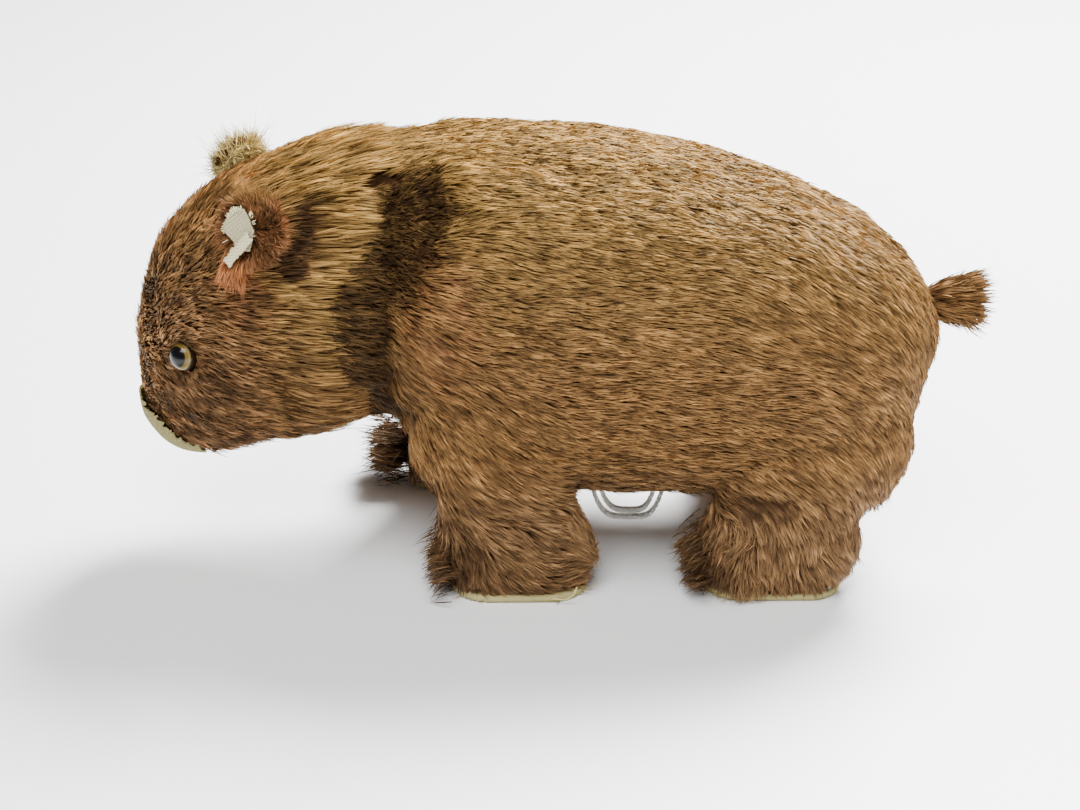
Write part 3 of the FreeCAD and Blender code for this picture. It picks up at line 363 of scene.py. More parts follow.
def ellipsoid(centre, radii, turn=0, levels=18, around=24, gap=0.02):
    """Points and faces of an ellipsoid turned about Y. The gap keeps its end rings off its poles."""
    cos, sin = math.cos(math.radians(turn)), math.sin(math.radians(turn))
    axes = (cos, 0, sin), (0, 1, 0), (-sin, 0, cos)
    angle = turns(around)
    return loft([out_from(np.array(centre), axes, -math.cos(level) * radii[0] * np.ones(around),
                          math.sin(level) * radii[1] * np.cos(angle), math.sin(level) * radii[2] * np.sin(angle))
                 for level in np.linspace(gap, math.pi - gap, levels)])


def inset_rings(stations, levels):
    """Rings of a form pulled in on every side to where the backing lies."""
    x, *measures = np.array(sorted(stations)).T
    middle, half = (x[0] + x[-1]) / 2, (x[-1] - x[0]) / 2
    rings = []
    for share in np.sin(np.linspace(-math.pi / 2, math.pi / 2, levels)):
        top, bottom, half_width, widening = (np.interp(middle + half * share, x, each) for each in measures)
        rings.append(ring(middle + (half - SKIN_INSET) * share, top - SKIN_INSET, bottom + SKIN_INSET,
                          max(half_width - SKIN_INSET, 2), widening))
    return rings


def head_form():
    rings = inset_rings(HEAD_FORM, 24)
    # The neck goes on back into the body, so that the cover is one skin.
    back = rings[-1]
    for step in (4, 8, 12):
        rings.append(back * [1, 0.97, 1] + [step, 0, 0])
    return loft(rings)


# How a leg's cover narrows upwards: height, share of the way to the pivot, length, half width, shift outwards.
LEG_LEVELS = [(1.2, 0.02, 0.72, 5.2, 0), (3.5, 0.02, 0.85, 6.3, 0), (8, 0.05, 0.97, 6.8, 0),
              (13, 0.16, 0.93, 6.8, 0), (20, 0.45, 0.84, 7, 0), (30, 0.9, 0.8, 7.5, -1.5)]
LEG_POINTS = 40
LEG_SQUARENESS = 0.8
COVER_INSET = 1.2


def rear_shift(leg):
    """A rear foot's pile and sole lie this much further forward than its CAD sole."""
    return 1.2 if "rear" in leg else 0


def leg_form(leg):
    """The cover of one leg, from the sole up into the body."""
    foot, half = node_middle(leg + "_sole")
    shift = rear_shift(leg)
    start, reach = foot[0] - shift, half[0] - COVER_INSET - shift
    pivot = own(PIVOTS[leg + "_swing"])[0]
    angle = turns(LEG_POINTS)
    cos, sin = squarer(np.cos(angle), LEG_SQUARENESS), squarer(np.sin(angle), LEG_SQUARENESS)
    rings = []
    for z, share, long, wide, out in LEG_LEVELS:
        middle = [start + (pivot - start) * share, foot[1] + LEGS[leg] * out, z]
        rings.append(np.stack([reach * long * cos, wide * sin, 0 * sin], axis=1) + middle)
    return loft(rings)


# ---- marks on the skin
# The parted band round the neck: z, x of its middle, half its width.
BAND = np.array([(30, -50, 2.5), (38, -51.5, 5.6), (46, -55, 7.4), (55, -56, 8.6), (64, -53, 9.2),
                 (74, -47.5, 10), (81, -45, 9.5), (86, -44, 2)])
# The others: centre and radii.
FRONT_TOES = (-37, 27, 11), (7, 12, 10)
REAR_TOES = (11, 26, 11), (10, 12, 10)
# Painted shade: the dark gap where the flank overhangs the rear foot, over a groove in the skin.
REAR_CREASE = (20, 30, 21.5), (11, 8, 4.2)
EAR_DENT = (-66, -20, 74), (4, 9, 7)
JAW_DENT = (-75, -14, 24), (4, 8, 5)
# The two pockets behind the left ear, and the wider patch round them, where shade is painted into the pile.
UPPER_POCKET = (-66.5, -22, 77), (4.4, 9, 6)
LOWER_POCKET = (-68.5, -22, 70), (4.4, 9, 4.6)
POCKET_SHADE = (-70, -22, 76), (11, 12, 12)
MUZZLE_TOP = (-102, 0, 54), (9, 22, 26)
WORN_SHOULDER = (-41, 28, 60), (10, 14, 19)
WORN_TEMPLE = (-78, 22, 62), (7, 9, 7)
MATTED_BROW = (-96, 0, 60), (12, 24, 22)
SHORT_MUZZLE = (-99, 0, 32), (14, 20, 16)
NAPE_SLIT = (-52, -13, 82), (6, 4, 1.6)


def band_share(points):
    """How deep in the dark parted band a point is, 0 to 1."""
    middle, half = (np.interp(points[:, 2], BAND[:, 0], BAND[:, column]) for column in (1, 2))
    apart = np.abs(points[:, 0] - middle + 2.2 * noise(points, 3.4, 5) + 1.6 * noise(points * [0.25, 1, 1], 1.1, 7))
    return fall(apart, half * 0.6, half * 1.2) * rise(np.abs(points[:, 1]), 7, 14)


def toe_share(points):
    """How deep in the matted pile at a toe, or in the crease above it, a point is, 0 to 1. The crease's dark is
    painted shade.
    """
    folded = fold_over(points)
    share = near(folded, *FRONT_TOES) + near(folded, *REAR_TOES) + 1.5 * near(folded, *REAR_CREASE)
    return np.clip(share * (0.75 + 0.7 * noise(points, 2.6, 6)), 0, 1)


def pocket_share(points):
    """How deep in the two dark pockets behind the left ear a point is, 0 to 1. The dark is painted shade."""
    return np.clip(1.2 * (near(points, *UPPER_POCKET) + near(points, *LOWER_POCKET)), 0, 1)


def build_skin():
    """One skin over the body, the head and the legs, remeshed and smoothed."""
    shapes = Shapes().add(*loft(inset_rings(BODY_FORM, 30))).add(*head_form())
    for leg in LEGS:
        shapes.add(*leg_form(leg))
    for side in (LEFT, RIGHT):
        # The haunch and the shoulder.
        shapes.add(*ellipsoid((35, 19 * side, 33), (17, 8, 19), 20))
        shapes.add(*ellipsoid((-32, 18 * side, 34), (14, 8, 18), -10))
    item = shapes.make("skin")
    remesh = item.modifiers.new("fuse", "REMESH")
    remesh.mode = "VOXEL"
    remesh.voxel_size = 1.1 * MM
    soften = item.modifiers.new("soften", "SMOOTH")
    soften.factor = 0.5
    soften.iterations = 10
    baked(item)
    points, normals = vertex_arrays(item.data)
    # The parted band is a groove, and old stuffing leaves shallow dents everywhere.
    sink = 1.3 * band_share(points) + 0.45 * noise(points, 13, 3) + 0.2 * noise(points, 5, 4)
    sink += 0.8 * near(points, *EAR_DENT) + 0.9 * near(points, *JAW_DENT) + 1 * toe_share(points)
    item.data.vertices.foreach_set("co", row(points - normals * sink[:, None]).reshape(-1))
    item.data.update()
    return item


def vertex_arrays(mesh):
    """Places (millimetres, own axes) and normals of a mesh's vertices."""
    arrays = []
    for kind in ("co", "normal"):
        values = np.empty(len(mesh.vertices) * 3)
        mesh.vertices.foreach_get(kind, values)
        arrays.append(values.reshape(-1, 3))
    return own(arrays[0]), arrays[1]


# ---- regions of the skin
# A leg leaves the body at this line, and has turned into its own body this deep past it.
LEG_LINE = np.array([0, 14, 15])
LEG_OUT = np.array([0, 0.745, -0.667])
LEG_TOP, LEGS_BEHIND, BELLY_MIDDLE = 30, -62, 2
NECK_BACK, NECK_FRONT = -45, -61


def region_of(points):
    """The name of the region that each point is in."""
    x, y, z = points.T
    names = np.full(len(points), "body", dtype=object)
    names[x < NECK_BACK] = "neck"
    names[x < NECK_FRONT] = "head"
    on_leg = ((fold_over(points) - LEG_LINE) @ LEG_OUT > 0) & (z < LEG_TOP) & (x > LEGS_BEHIND)
    for leg, side in LEGS.items():
        half = (x < BELLY_MIDDLE) if "front" in leg else (x >= BELLY_MIDDLE)
        names[on_leg & half & (y * side > 0)] = leg
    return names


def attach(item, region):
    """Make a piece follow the body that its region belongs to. A neck or leg piece only has its place baked into its
    mesh.
    """
    if region == "neck":
        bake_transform(item)
    elif region in LEGS:
        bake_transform(item)
    else:
        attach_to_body(item, region)


# ---- nap of the pile
# Guides: x, distance from the middle plane, z; then the way the pile is combed there (x, outwards, z).
NAP = np.array([
    (-45, 0, 86, 1, 0, 0.1), (-20, 0, 88, 1, 0, 0), (15, 0, 82, 1, 0, -0.3), (45, 0, 66, 0.7, 0, -0.7),
    (59, 0, 52, 0.1, 0, -1), (58, 0, 38, -0.1, 0, -1), (-40, 25, 70, 1, 0, -0.12), (-45, 24, 50, 0.9, 0, -0.35),
    (-20, 31, 60, 1, 0, -0.08), (0, 32, 50, 1, 0, -0.06), (20, 32, 45, 1, 0, -0.15), (40, 30, 50, 0.85, 0, -0.5),
    (52, 20, 50, 0.5, 0.1, -0.85), (52, 18, 32, 0.2, 0, -1), (-34, 29, 33, 0.75, 0, -0.65),
    (-5, 30, 30, 1, 0, -0.12), (10, 30, 28, 1, 0, -0.08), (30, 31, 30, 0.8, 0, -0.55),
    (44, 27, 22, 0.45, 0, -0.9), (0, 8, 14, 1, 0, 0), (-50, 0, 33, 0.3, 0, -1), (-47, 18, 33, 0.6, 0, -0.8),
    (-24, 30, 9, 1, 0, -0.12), (-38, 24, 10, 0.5, 0.1, -0.7), (20, 30, 9, 0.1, 0.1, -1),
    (40, 28, 9, 0.55, 0, -0.8), (9, 22, 8, -0.6, 0.2, -0.7), (-20, 12, 6, 0.6, 0, -0.8), (30, 12, 6, 0.3, 0, -1),
    (-100, 0, 42, 0.15, 0, 1), (-98, 0, 58, 0.3, 0, 1), (-90, 0, 70, 0.7, 0, 0.7), (-75, 0, 80, 1, 0, 0.4),
    (-60, 0, 85, 1, 0, 0.25), (-95, 12, 55, 0.5, 0.3, 0.5), (-92, 15, 40, 0.8, 0.1, -0.3),
    (-85, 20, 45, 1, 0, -0.12), (-88, 19, 60, 0.7, 0.1, 0.3), (-80, 23, 60, 1, 0, 0), (-68, 25, 62, 1, 0, 0.02),
    (-58, 25, 75, 1, 0, 0.05), (-60, 25, 45, 1, 0, -0.03), (-85, 10, 22, 1, 0, 0), (-95, 8, 28, 0.9, 0.1, -0.2),
    (-65, 10, 29, 1, 0, -0.1)])
GUIDE_REACH = 25


def combed(points, normals):
    """The direction the pile lies in at each point, along the skin."""
    folded = fold_over(points)
    total = np.zeros_like(points)
    for guide in NAP:
        apart = np.sum((folded - guide[:3]) ** 2, axis=1)
        total += unit(guide[3:]) / (apart[:, None] + GUIDE_REACH) ** 2
    total[:, 1] *= np.where(points[:, 1] < 0, -1, 1)
    matted = 0.16 + 0.5 * fall(points[:, 2], 14, 26) + 0.45 * near(points, *MATTED_BROW)
    wander = np.stack([noise(points, 8, 11 + i) + 0.5 * noise(points, 3, 15 + i) for i in range(3)], axis=1)
    total = unit(unit(total) + matted[:, None] * wander)
    return unit(total - normals * np.sum(total * normals, axis=1, keepdims=True))


def window(values, start, full, fade, end):
    """1 between full and fade, and 0 before start and after end."""
    return rise(values, start, full) * fall(values, fade, end)


def pile_colour(points):
    """The colour of the pile's tips at each root, scene-linear."""
    x, y, z = points.T
    high = rise(z, 48, 88)
    colour = mixed(RED_BROWN, mixed(BROWN, GOLD, high), rise(z, 16, 34))
    colour = mixed(colour, mixed(FACE_BROWN, TAN, high), fall(x, -82, -70))
    colour = mixed(colour, GOLD, 0.6 * window(x, -76, -66, -54, -46) * rise(z, 34, 60))
    # Painted shade: the pockets behind the left ear and the patch round them are painted dark.
    pockets = np.clip(pocket_share(points) + 0.45 * near(points, *POCKET_SHADE), 0, 0.92)
    colour = mixed(colour, DARK, pockets)
    colour = mixed(colour, TAN * 1.3, 0.5 * near(points, *MUZZLE_TOP))
    folded = fold_over(points)
    worn = np.clip(near(folded, *WORN_SHOULDER) + near(folded, *WORN_TEMPLE), 0, 1)
    worn = worn * (0.45 + 0.4 * noise(points, 2, 25))
    colour = mixed(colour, EAR_RED * 0.8, worn)
    # Darker at the toes, and painted shade in the crease where the flank overhangs the rear foot.
    colour = mixed(colour, DARK * 1.3, 0.75 * toe_share(points))
    band = band_share(points) * (0.84 + 0.2 * noise(points, 1.2, 24))
    colour = mixed(colour, mixed(DARK, EAR_RED, 0.25 * worn), band)
    front = fall(x, -68, -56)
    streak = (0.55 + 0.35 * front) * noise(points * [0.4, 1, 1], 0.9, 22)
    mottle = (0.12 + 0.38 * front) * noise(points, 2.4, 23) + 0.12 * noise(points, 14, 21)
    mottle += fall(x, -78, -66) * 0.45 * noise(points, 6, 26)
    return colour * np.clip(np.exp(streak + mottle - 0.03), 0.2, 2.2)[:, None]


# ---- strands
def scatter(points, normals, corners, per_mm2, rng):
    """Random roots on triangles, with their normals."""
    a, b, c = (points[corners[:, i]] for i in range(3))
    wanted = np.linalg.norm(np.cross(b - a, c - a), axis=1) / 2 * per_mm2
    index = np.repeat(np.arange(len(corners)), np.floor(wanted + rng.random(len(wanted))).astype(int))
    u, v = rng.random(len(index)), rng.random(len(index))
    fold = u + v > 1
    u[fold], v[fold] = 1 - u[fold], 1 - v[fold]
    shares = np.stack([1 - u - v, u, v], axis=1)[:, :, None]
    chosen = corners[index]
    return (points[chosen] * shares).sum(axis=1), unit((normals[chosen] * shares).sum(axis=1))


def nearest_leader(roots, leaders):
    tree = KDTree(len(leaders))
    for number, leader in enumerate(leaders):
        tree.insert(roots[leader], number)
    tree.balance()
    return np.array([tree.find(root)[1] for root in roots])


# A strand is a flat blade that ends in a point. It has a line across it at these shares of its length, which differ
# for straight and for curled pile, and these widths there.
STRAIGHT = np.array([0, 0.55])
CURLED = np.linspace(0, 0.95, 4)[:-1]
BLADE_WIDTHS = (0.8, 1, 0.75)
LOWEST_STRAND = 0.12
TIP_SPREAD = 0.15


def grow(name, roots, normals, along, look, rng, lines):
    """One mesh of strands. Mat is how hard broad locks pull, dash how much the colour wanders along a strand."""
    count = len(roots)
    length = look["length"]

    def reach(share, lift):
        return roots + (length * share)[:, None] * (along * np.cos(lift)[:, None] + normals * np.sin(lift)[:, None])

    curl = look["curl"][:, None] * length[:, None]
    middle = reach(0.45, np.clip(look["lift"] + 0.5, 0.15, 1.4)) + curl * 0.35 * rng.normal(size=(count, 3))
    tip = reach(1, look["lift"]) + curl * rng.normal(size=(count, 3))

    # Strands lean together into fine locks, and fine locks into broader ones.
    shade = 1 + look["shade"] * rng.normal(size=count)
    for share, pull_share, tint in ((0.16, 1, 0.16), (0.014, look["mat"], 0.10)):
        leaders = np.flatnonzero(rng.random(count) < share)
        if len(leaders) < 4:
            continue
        nearest = nearest_leader(roots, leaders)
        lead = leaders[nearest]
        pull = np.clip(look["clump"] * pull_share, 0, 0.9)[:, None]
        tip = tip * (1 - pull) + (tip[lead] + rng.normal(size=(count, 3)) * TIP_SPREAD) * pull
        middle = middle * (1 - pull * 0.3) + middle[lead] * pull * 0.3
        shade = shade + tint * (rng.random(len(leaders)) * 2 - 1)[nearest]
    shade = np.clip(shade, 0.35, 1.9)
    for places in (middle, tip):
        places[:, 2] = np.maximum(places[:, 2], LOWEST_STRAND)

    tangent = unit(tip - roots)
    across = unit(np.cross(tangent, normals))
    spin = rng.normal(size=count) * 0.7
    across = across * np.cos(spin)[:, None] + unit(np.cross(tangent, across)) * np.sin(spin)[:, None]
    number = len(lines) * 2 + 1
    points = np.empty((count, number, 3))
    for line, (share, thick) in enumerate(zip(lines, BLADE_WIDTHS)):
        centre = roots * (1 - share) ** 2 + middle * 2 * share * (1 - share) + tip * share ** 2
        half = across * (look["width"] * thick / 2)[:, None]
        points[:, line * 2], points[:, line * 2 + 1] = centre - half, centre + half
    points[:, -1] = tip

    faces = [[2 * i, 2 * i + 1, 2 * i + 3, 2 * i + 2] for i in range(len(lines) - 1)]
    faces.append([number - 3, number - 2, number - 1])
    mesh = bpy.data.meshes.new(name)
    mesh.vertices.add(count * number)
    mesh.vertices.foreach_set("co", row(points).reshape(-1))
    loops = (np.arange(count) * number)[:, None] + np.concatenate(faces)
    sizes = np.tile([len(face) for face in faces], count)
    mesh.loops.add(loops.size)
    mesh.loops.foreach_set("vertex_index", loops.reshape(-1))
    mesh.polygons.add(len(sizes))
    mesh.polygons.foreach_set("loop_start", np.cumsum(sizes) - sizes)
    mesh.polygons.foreach_set("loop_total", sizes)
    mesh.update(calc_edges=True)
    mesh.polygons.foreach_set("use_smooth", np.ones(len(sizes), dtype=bool))

    # Each strand runs from its root colour to its tip colour. The darker roots are partly real and partly painted
    # shade.
    fade = np.append(np.repeat(np.clip(lines * 1.15, 0, 1), 2), 1)[None, :, None]
    colour = look["root"][:, None, :] * (1 - fade) + look["tip"][:, None, :] * fade
    dash = noise(points.reshape(-1, 3) * [0.55, 1, 1], 0.75, 33).reshape(count, number, 1)
    set_colours(mesh, (colour * np.exp(look["dash"] * dash) * shade[:, None, None]).reshape(-1, 3))
    strand_cells(mesh, count, faces)
    mesh.materials.append(PILE)
    return add_object(name, mesh)


def strand_cells(mesh, count, faces):
    """An unwrap with one small cell for each strand."""
    cells = math.ceil(math.sqrt(count))
    corner_u, corner_v = [], []
    for number, face in enumerate(faces):
        low, high = (0.1 + 0.8 * (number + end) / len(faces) for end in (0, 1))
        corner_u += [0.15, 0.85, 0.85, 0.15] if len(face) == 4 else [0.15, 0.85, 0.5]
        corner_v += [low, low, high, high][:len(face)]
    u = ((np.arange(count) % cells)[:, None] + corner_u) / cells
    v = ((np.arange(count) // cells)[:, None] + corner_v) / cells
    layer = mesh.uv_layers.new(name="OFBake")
    layer.data.foreach_set("uv", np.stack([u, v], axis=2).reshape(-1))


# ---- skin and fur pieces
def split_skin(skin):
    """Cut the skin into one piece for each region."""
    points, normals = vertex_arrays(skin.data)
    skin.data.calc_loop_triangles()
    corners = np.array([triangle.vertices for triangle in skin.data.loop_triangles])
    regions = region_of(points[corners].mean(axis=1))
    parts = {}
    for region in sorted(set(regions)):
        parts[region] = corners[regions == region]
        used, index = np.unique(parts[region], return_inverse=True)
        attach(mesh_object("skin_" + region, points[used], index.reshape(-1, 3), BACKING), region)
    bpy.data.objects.remove(skin)
    return points, normals, parts


def eye_centre(name, side):
    """The middle and the radius of the ball at the outer end of its CAD node."""
    middle, half = node_middle(name + "_eye")
    return middle + [0, side * (half[1] - half[2]), 0], half[2]


EYE_FACING = {side: unit((-0.62, side * 0.78, 0.08)) for side in (LEFT, RIGHT)}
LID_RISE = np.array([-0.6, 0, 1.9])
KEY_AXIS = node_middle("key_bush")[0][[0, 2]]
KEY_COLLAR = 6.4
# The nose cloth wraps round this line inside the muzzle: x and z.
MUZZLE = (-88, 36)
NOSE_TURN, NOSE_REACH = math.radians(46), 14


def bare_places(roots):
    """True where no strand may root: the eyes, the nose cloth, the key's collar and the slit at the nape."""
    turn = np.arctan2(MUZZLE[1] - roots[:, 2], MUZZLE[0] - roots[:, 0])
    bare = nose_edge(roots[:, 1], (NOSE_TURN - turn) * NOSE_REACH) > 0.7
    bare |= near(roots, *NAPE_SLIT) > 0.3
    bare |= (roots[:, 1] > 0) & (np.linalg.norm(roots[:, [0, 2]] - KEY_AXIS, axis=1) < KEY_COLLAR)
    for name, side in (("left", LEFT), ("right", RIGHT)):
        centre, radius = eye_centre(name, side)
        bare |= np.linalg.norm(roots - centre - LID_RISE, axis=1) < radius + 0.1
    return bare


def fur_look(roots, rng):
    """Every strand's length, width, lift, curl, locks and colours."""
    count = len(roots)
    x, y, z = roots.T
    band = band_share(roots)
    nape = window(x, -80, -70, -52, -44) * rise(z, 76, 82)
    mane = window(x, -74, -66, -58, -50)
    face = fall(x, -84, -72)
    feet = fall(z, 14, 24)
    toes = fall(z, 12, 22) * fall(np.abs(x - 13), 5, 13) + fall(z, 12, 20) * fall(np.abs(x + 42), 3, 9) * 0.7
    length = (3.7 + 3.1 * mane + 1 * nape - 0.7 * face - 1.6 * near(roots, *SHORT_MUZZLE) - 1.3 * band
              + 0.5 * feet + 0.9 * rise(-x, 62, 70) * fall(z, 25, 31) - 1.6 * pocket_share(roots))
    length = length * (1 + 0.16 * rng.normal(size=count))
    lift = 0.11 + 0.22 * face + 0.28 * toes + 0.10 * feet + 0.45 * band + 0.22 * nape - 0.04 * mane
    lift = lift + 0.07 * rng.normal(size=count) + 0.07 * noise(roots, 3.5, 31)
    # Root tone, partly painted shade deep in the pile: darker in the band and at the toes, lighter on top of the
    # muzzle.
    depth = (1 - 0.5 * band) * (1 - 0.35 * toes) + 0.8 * near(roots, *MUZZLE_TOP)
    return {
        "length": np.clip(length, 1.3, 11),
        "width": np.clip(0.225 + 0.04 * rng.normal(size=count), 0.14, 0.4),
        "lift": np.clip(lift, 0.03, 1.2),
        "curl": 0.05 + 0.09 * face + 0.2 * toes + 0.16 * band + 0.06 * feet,
        "clump": np.clip(0.36 + 0.2 * noise(roots, 6, 41) + 0.25 * mane + 0.2 * feet, 0.05, 0.85),
        "mat": 0.35, "dash": 0.62, "shade": 0.17,
        "tip": pile_colour(roots), "root": ROOT * depth[:, None],
    }


DENSITY = amount(2, 6.6)
MAX_STRANDS = {False: 60000, True: 36000}
LOWEST_ROOT = 1.6


def fur_pieces(points, normals, parts):
    """Strands on every region, half as close where it faces down."""
    rng = np.random.default_rng(7)
    for region, corners in parts.items():
        facing_down = normals[corners].mean(axis=1)[:, 2] < -0.6
        hidden = facing_down & (points[corners].mean(axis=1)[:, 2] > 8)
        curly = region in LEGS or region == "head"
        roots, root_normals = scatter(points, normals, corners, DENSITY * np.where(hidden, 0.5, 1), rng)
        kept = np.flatnonzero((roots[:, 2] > LOWEST_ROOT) & ~bare_places(roots))
        # The left side comes first, and each side runs from nose to tail.
        kept = kept[np.argsort(roots[kept, 0] + 400 * (roots[kept, 1] > 0), kind="stable")]
        sheets = max(1, math.ceil(len(kept) / MAX_STRANDS[curly]))
        for sheet, chosen in enumerate(np.array_split(kept, sheets)):
            places, outward = roots[chosen], root_normals[chosen]
            attach(grow("fur_%s_%d" % (region, sheet), places, outward, combed(places, outward),
                        fur_look(places, rng), rng, CURLED if curly else STRAIGHT), region)


# ---- tufts and cloth
def bunch(name, centres, directions, normals, rng, length, width, curl, tip, root, clump=0.4, lift=0.3,
          shade=0.2, region="head"):
    """A tuft of strands from given roots, each with its own direction."""
    count = len(centres)
    look = {
        "length": np.clip(length * (1 + 0.25 * rng.normal(size=count)), 0.5, None),
        "width": np.full(count, width), "lift": lift + 0.15 * rng.normal(size=count),
        "curl": np.full(count, curl), "clump": np.full(count, clump), "mat": 0.3, "dash": 0.4, "shade": shade,
        "tip": np.broadcast_to(tip, (count, 3)), "root": np.broadcast_to(root, (count, 3)),
    }
    outward = np.broadcast_to(unit(normals), centres.shape)
    attach(grow(name, centres, outward, unit(directions), look, rng, CURLED), region)


def facing_axes(facing):
    """Three directions: across a facing, upwards across it, and the facing."""
    side = unit(np.cross(facing, (0, 0, 1)))
    return side, unit(np.cross(side, facing)), facing


def weave(shapes, surface, wide, tall, spacing, colour, rng, ragged, edge):
    """A sheet of cloth with its threads' relief and painted shade. Surface maps (u, v) to a point, edge to a depth
    inside the edge.
    """
    step = spacing / 3
    across, up = int(wide / step), int(tall / step)
    grid = np.meshgrid((np.arange(across + 1) / across - 0.5) * wide, (np.arange(up + 1) / up - 0.5) * tall)
    u, v = (values.ravel() for values in grid)
    points = surface(u, v)
    normal = unit(np.cross(surface(u + 0.05, v) - points, surface(u, v + 0.05) - points))
    wave_u, wave_v = (np.cos(math.pi * values / spacing) for values in (u, v))
    relief = 0.28 * spacing * (np.abs(wave_u) + np.abs(wave_v) + 0.7 * wave_u * wave_v)
    points = points + normal * relief[:, None]
    flat = np.stack([u, v, 0 * u], axis=1)
    inside = edge(u, v) + ragged * (noise(flat, 1.1, 51) + 0.6 * noise(flat, 0.5, 52)) > 0
    # Painted shade: the threads' crowns are painted lighter and the hollows between them darker, with a little
    # random tone.
    shade = 0.55 + 0.55 * (relief - relief.min()) / np.ptp(relief) + 0.05 * rng.normal(size=len(u))
    corner = (np.arange(up)[:, None] * (across + 1) + np.arange(across)).reshape(-1, 1)
    squares = corner + [0, 1, across + 2, across + 1]
    used, index = np.unique(squares[inside[squares].all(axis=1)], return_inverse=True)
    faces = [tuple(face) for face in index.reshape(-1, 4).tolist()]
    back = [tuple(i + len(used) for i in reversed(face)) for face in faces]
    shell = np.concatenate([points[used], points[used] - normal[used] * 0.25])
    # The back face is painted darker, as shade.
    tones = colour * shade[used][:, None]
    shapes.add(shell, faces + back + rim_faces(faces, len(used)), np.concatenate([tones, tones * 0.7]))


def rim_faces(faces, shift):
    """Faces that close the edge between a sheet's front and its back."""
    edges = dict.fromkeys(edge for face in faces for edge in zip(face, face[1:] + face[:1]))
    return [(end, start, start + shift, end + shift) for start, end in edges if (end, start) not in edges]


TUBE_START = (0.31, 0.52, 0.79)


def tube(path, radius, sides=6):
    """Points and faces of a thin tube along a path."""
    path = np.asarray(path, dtype=float)
    tangent = unit(np.gradient(path, axis=0))
    first = unit(np.cross(tangent, TUBE_START))
    second = unit(np.cross(tangent, first))
    return loft([oval(centre, axes, turns(sides), radius) for centre, *axes in zip(path, first, second)])


def arc(points, count):
    """A smooth path through a few points."""
    points = np.asarray(points, dtype=float)
    wanted = np.linspace(0, len(points) - 1, count)
    path = np.stack([np.interp(wanted, np.arange(len(points)), points[:, i]) for i in range(3)], axis=1)
    for _ in range(count // 6):
        path[1:-1] = (path[:-2] + 2 * path[1:-1] + path[2:]) / 4
    return path


def thread(shapes, start, end, bend, radius, count, colour, rng):
    """A loose end of thread that bends a little at random."""
    middle = (start + end) / 2 + rng.normal(size=3) * bend
    shapes.add(*tube(arc([start, middle, end], count), radius, 5), colour)


# ---- ears
NEAR_EAR = np.array([-72.8, -21.5, 76.5])
FAR_EAR = np.array([-81, 18, 75])


def near_ear():
    """The left ear: a rosette of curled red-brown pile round a folded scrap of cream cloth."""
    rng = np.random.default_rng(21)
    axes = facing_axes(unit((-0.30, -0.84, 0.42)))
    facing = axes[2]

    def dish(radius, angle):
        cup = 0.8 * (radius / 5) ** 2 * (1 + 0.25 * np.sin(3 * angle))
        return oval(NEAR_EAR, axes, angle, radius, 1.05, 0.4 + cup)

    rings = [dish(radius, turns(36)) for radius in (0.5, 1.8, 3.4, 4.6, 5)]
    rings += [places - facing * 1.6 for places in reversed(rings)]
    Shapes().add(*loft(rings), ROOT).wear("left_ear_flap", BACKING, "head", node="left_ear")

    count = amount(1500, 5200)
    radius = 5.2 * np.sqrt(rng.random(count))
    turn = spins(rng, count)
    roots = dish(radius, turn) - facing * 0.3
    along = out_from(0, axes, np.cos(turn) + 0.6 * np.sin(turn), np.sin(turn))
    along = along + 0.25 * rng.normal(size=(count, 3))
    mix = np.clip(0.5 + 0.5 * noise(roots, 2.2, 61) + 0.35 * rng.normal(size=count), 0, 1)
    tone = mixed(EAR_RED, ROOT * 1.1, mix)
    tone = mixed(tone, TAN * 0.7, rise(np.sin(turn) * radius, 2.6, 4.6))
    bunch("left_ear_pile", roots, along, facing, rng, 2.8, 0.24, 0.34, tone, ROOT * 0.7, clump=0.5, lift=0.45)

    # The tuft that hangs from the ear's lower front edge.
    count = amount(300, 900)
    roots = out_from(NEAR_EAR, axes, 2.4 + rng.normal(size=count) * 0.6, -5.5, 1.2)
    roots = roots + rng.normal(size=(count, 3)) * 0.5
    along = [-0.25, -0.15, -1] + 0.30 * rng.normal(size=(count, 3))
    bunch("left_ear_tuft", roots, along, facing, rng, 5.6, 0.24, 0.13, ORANGE, EAR_RED * 0.4, clump=0.6,
          lift=0.10, shade=0.4)

    cloth = Shapes()
    middle = out_from(NEAR_EAR, axes, 1.6, -2, 2.6)

    def upper(u, v):
        fold = 0.9 * (u / 3) ** 2 - 0.5 * np.abs(v / 4)
        return out_from(middle, axes, 0.12 * v - u, v + 1.6, 0.6 + fold)

    def upper_edge(u, v):
        return np.minimum(3.3 - 0.5 * np.abs(v) - np.abs(u + 0.2 * v), 3.9 - np.abs(v))

    def lower(u, v):
        roll = 0.9 * np.cos(u / 1.1)
        return out_from(middle, axes, -(0.6 * u + 0.55 * v + 0.6), 0.8 * v - 2.2 - 0.5 * u, 1 + roll)

    def lower_edge(u, v):
        return np.minimum(1.25 - np.abs(u), 3.6 - np.abs(v))

    weave(cloth, upper, 7.4, 8.4, 0.42, CREAM * 0.72, rng, 0.16, upper_edge)
    weave(cloth, lower, 3.2, 7.6, 0.42, CREAM, rng, 0.14, lower_edge)
    for _ in range(34):
        turn = spins(rng)
        cos, sin = math.cos(turn), math.sin(turn)
        start = out_from(middle, axes, -2.6 * cos, 1.5 + 3.6 * sin, 0.9)
        reach = 0.5 + 0.6 * rng.random()
        thread(cloth, start, out_from(start, axes, -cos * reach, sin * reach, 0.3), 0.12, 0.07, 6, CREAM, rng)
    cloth.wear("left_ear_cloth", CLOTH, "head", "cloth")


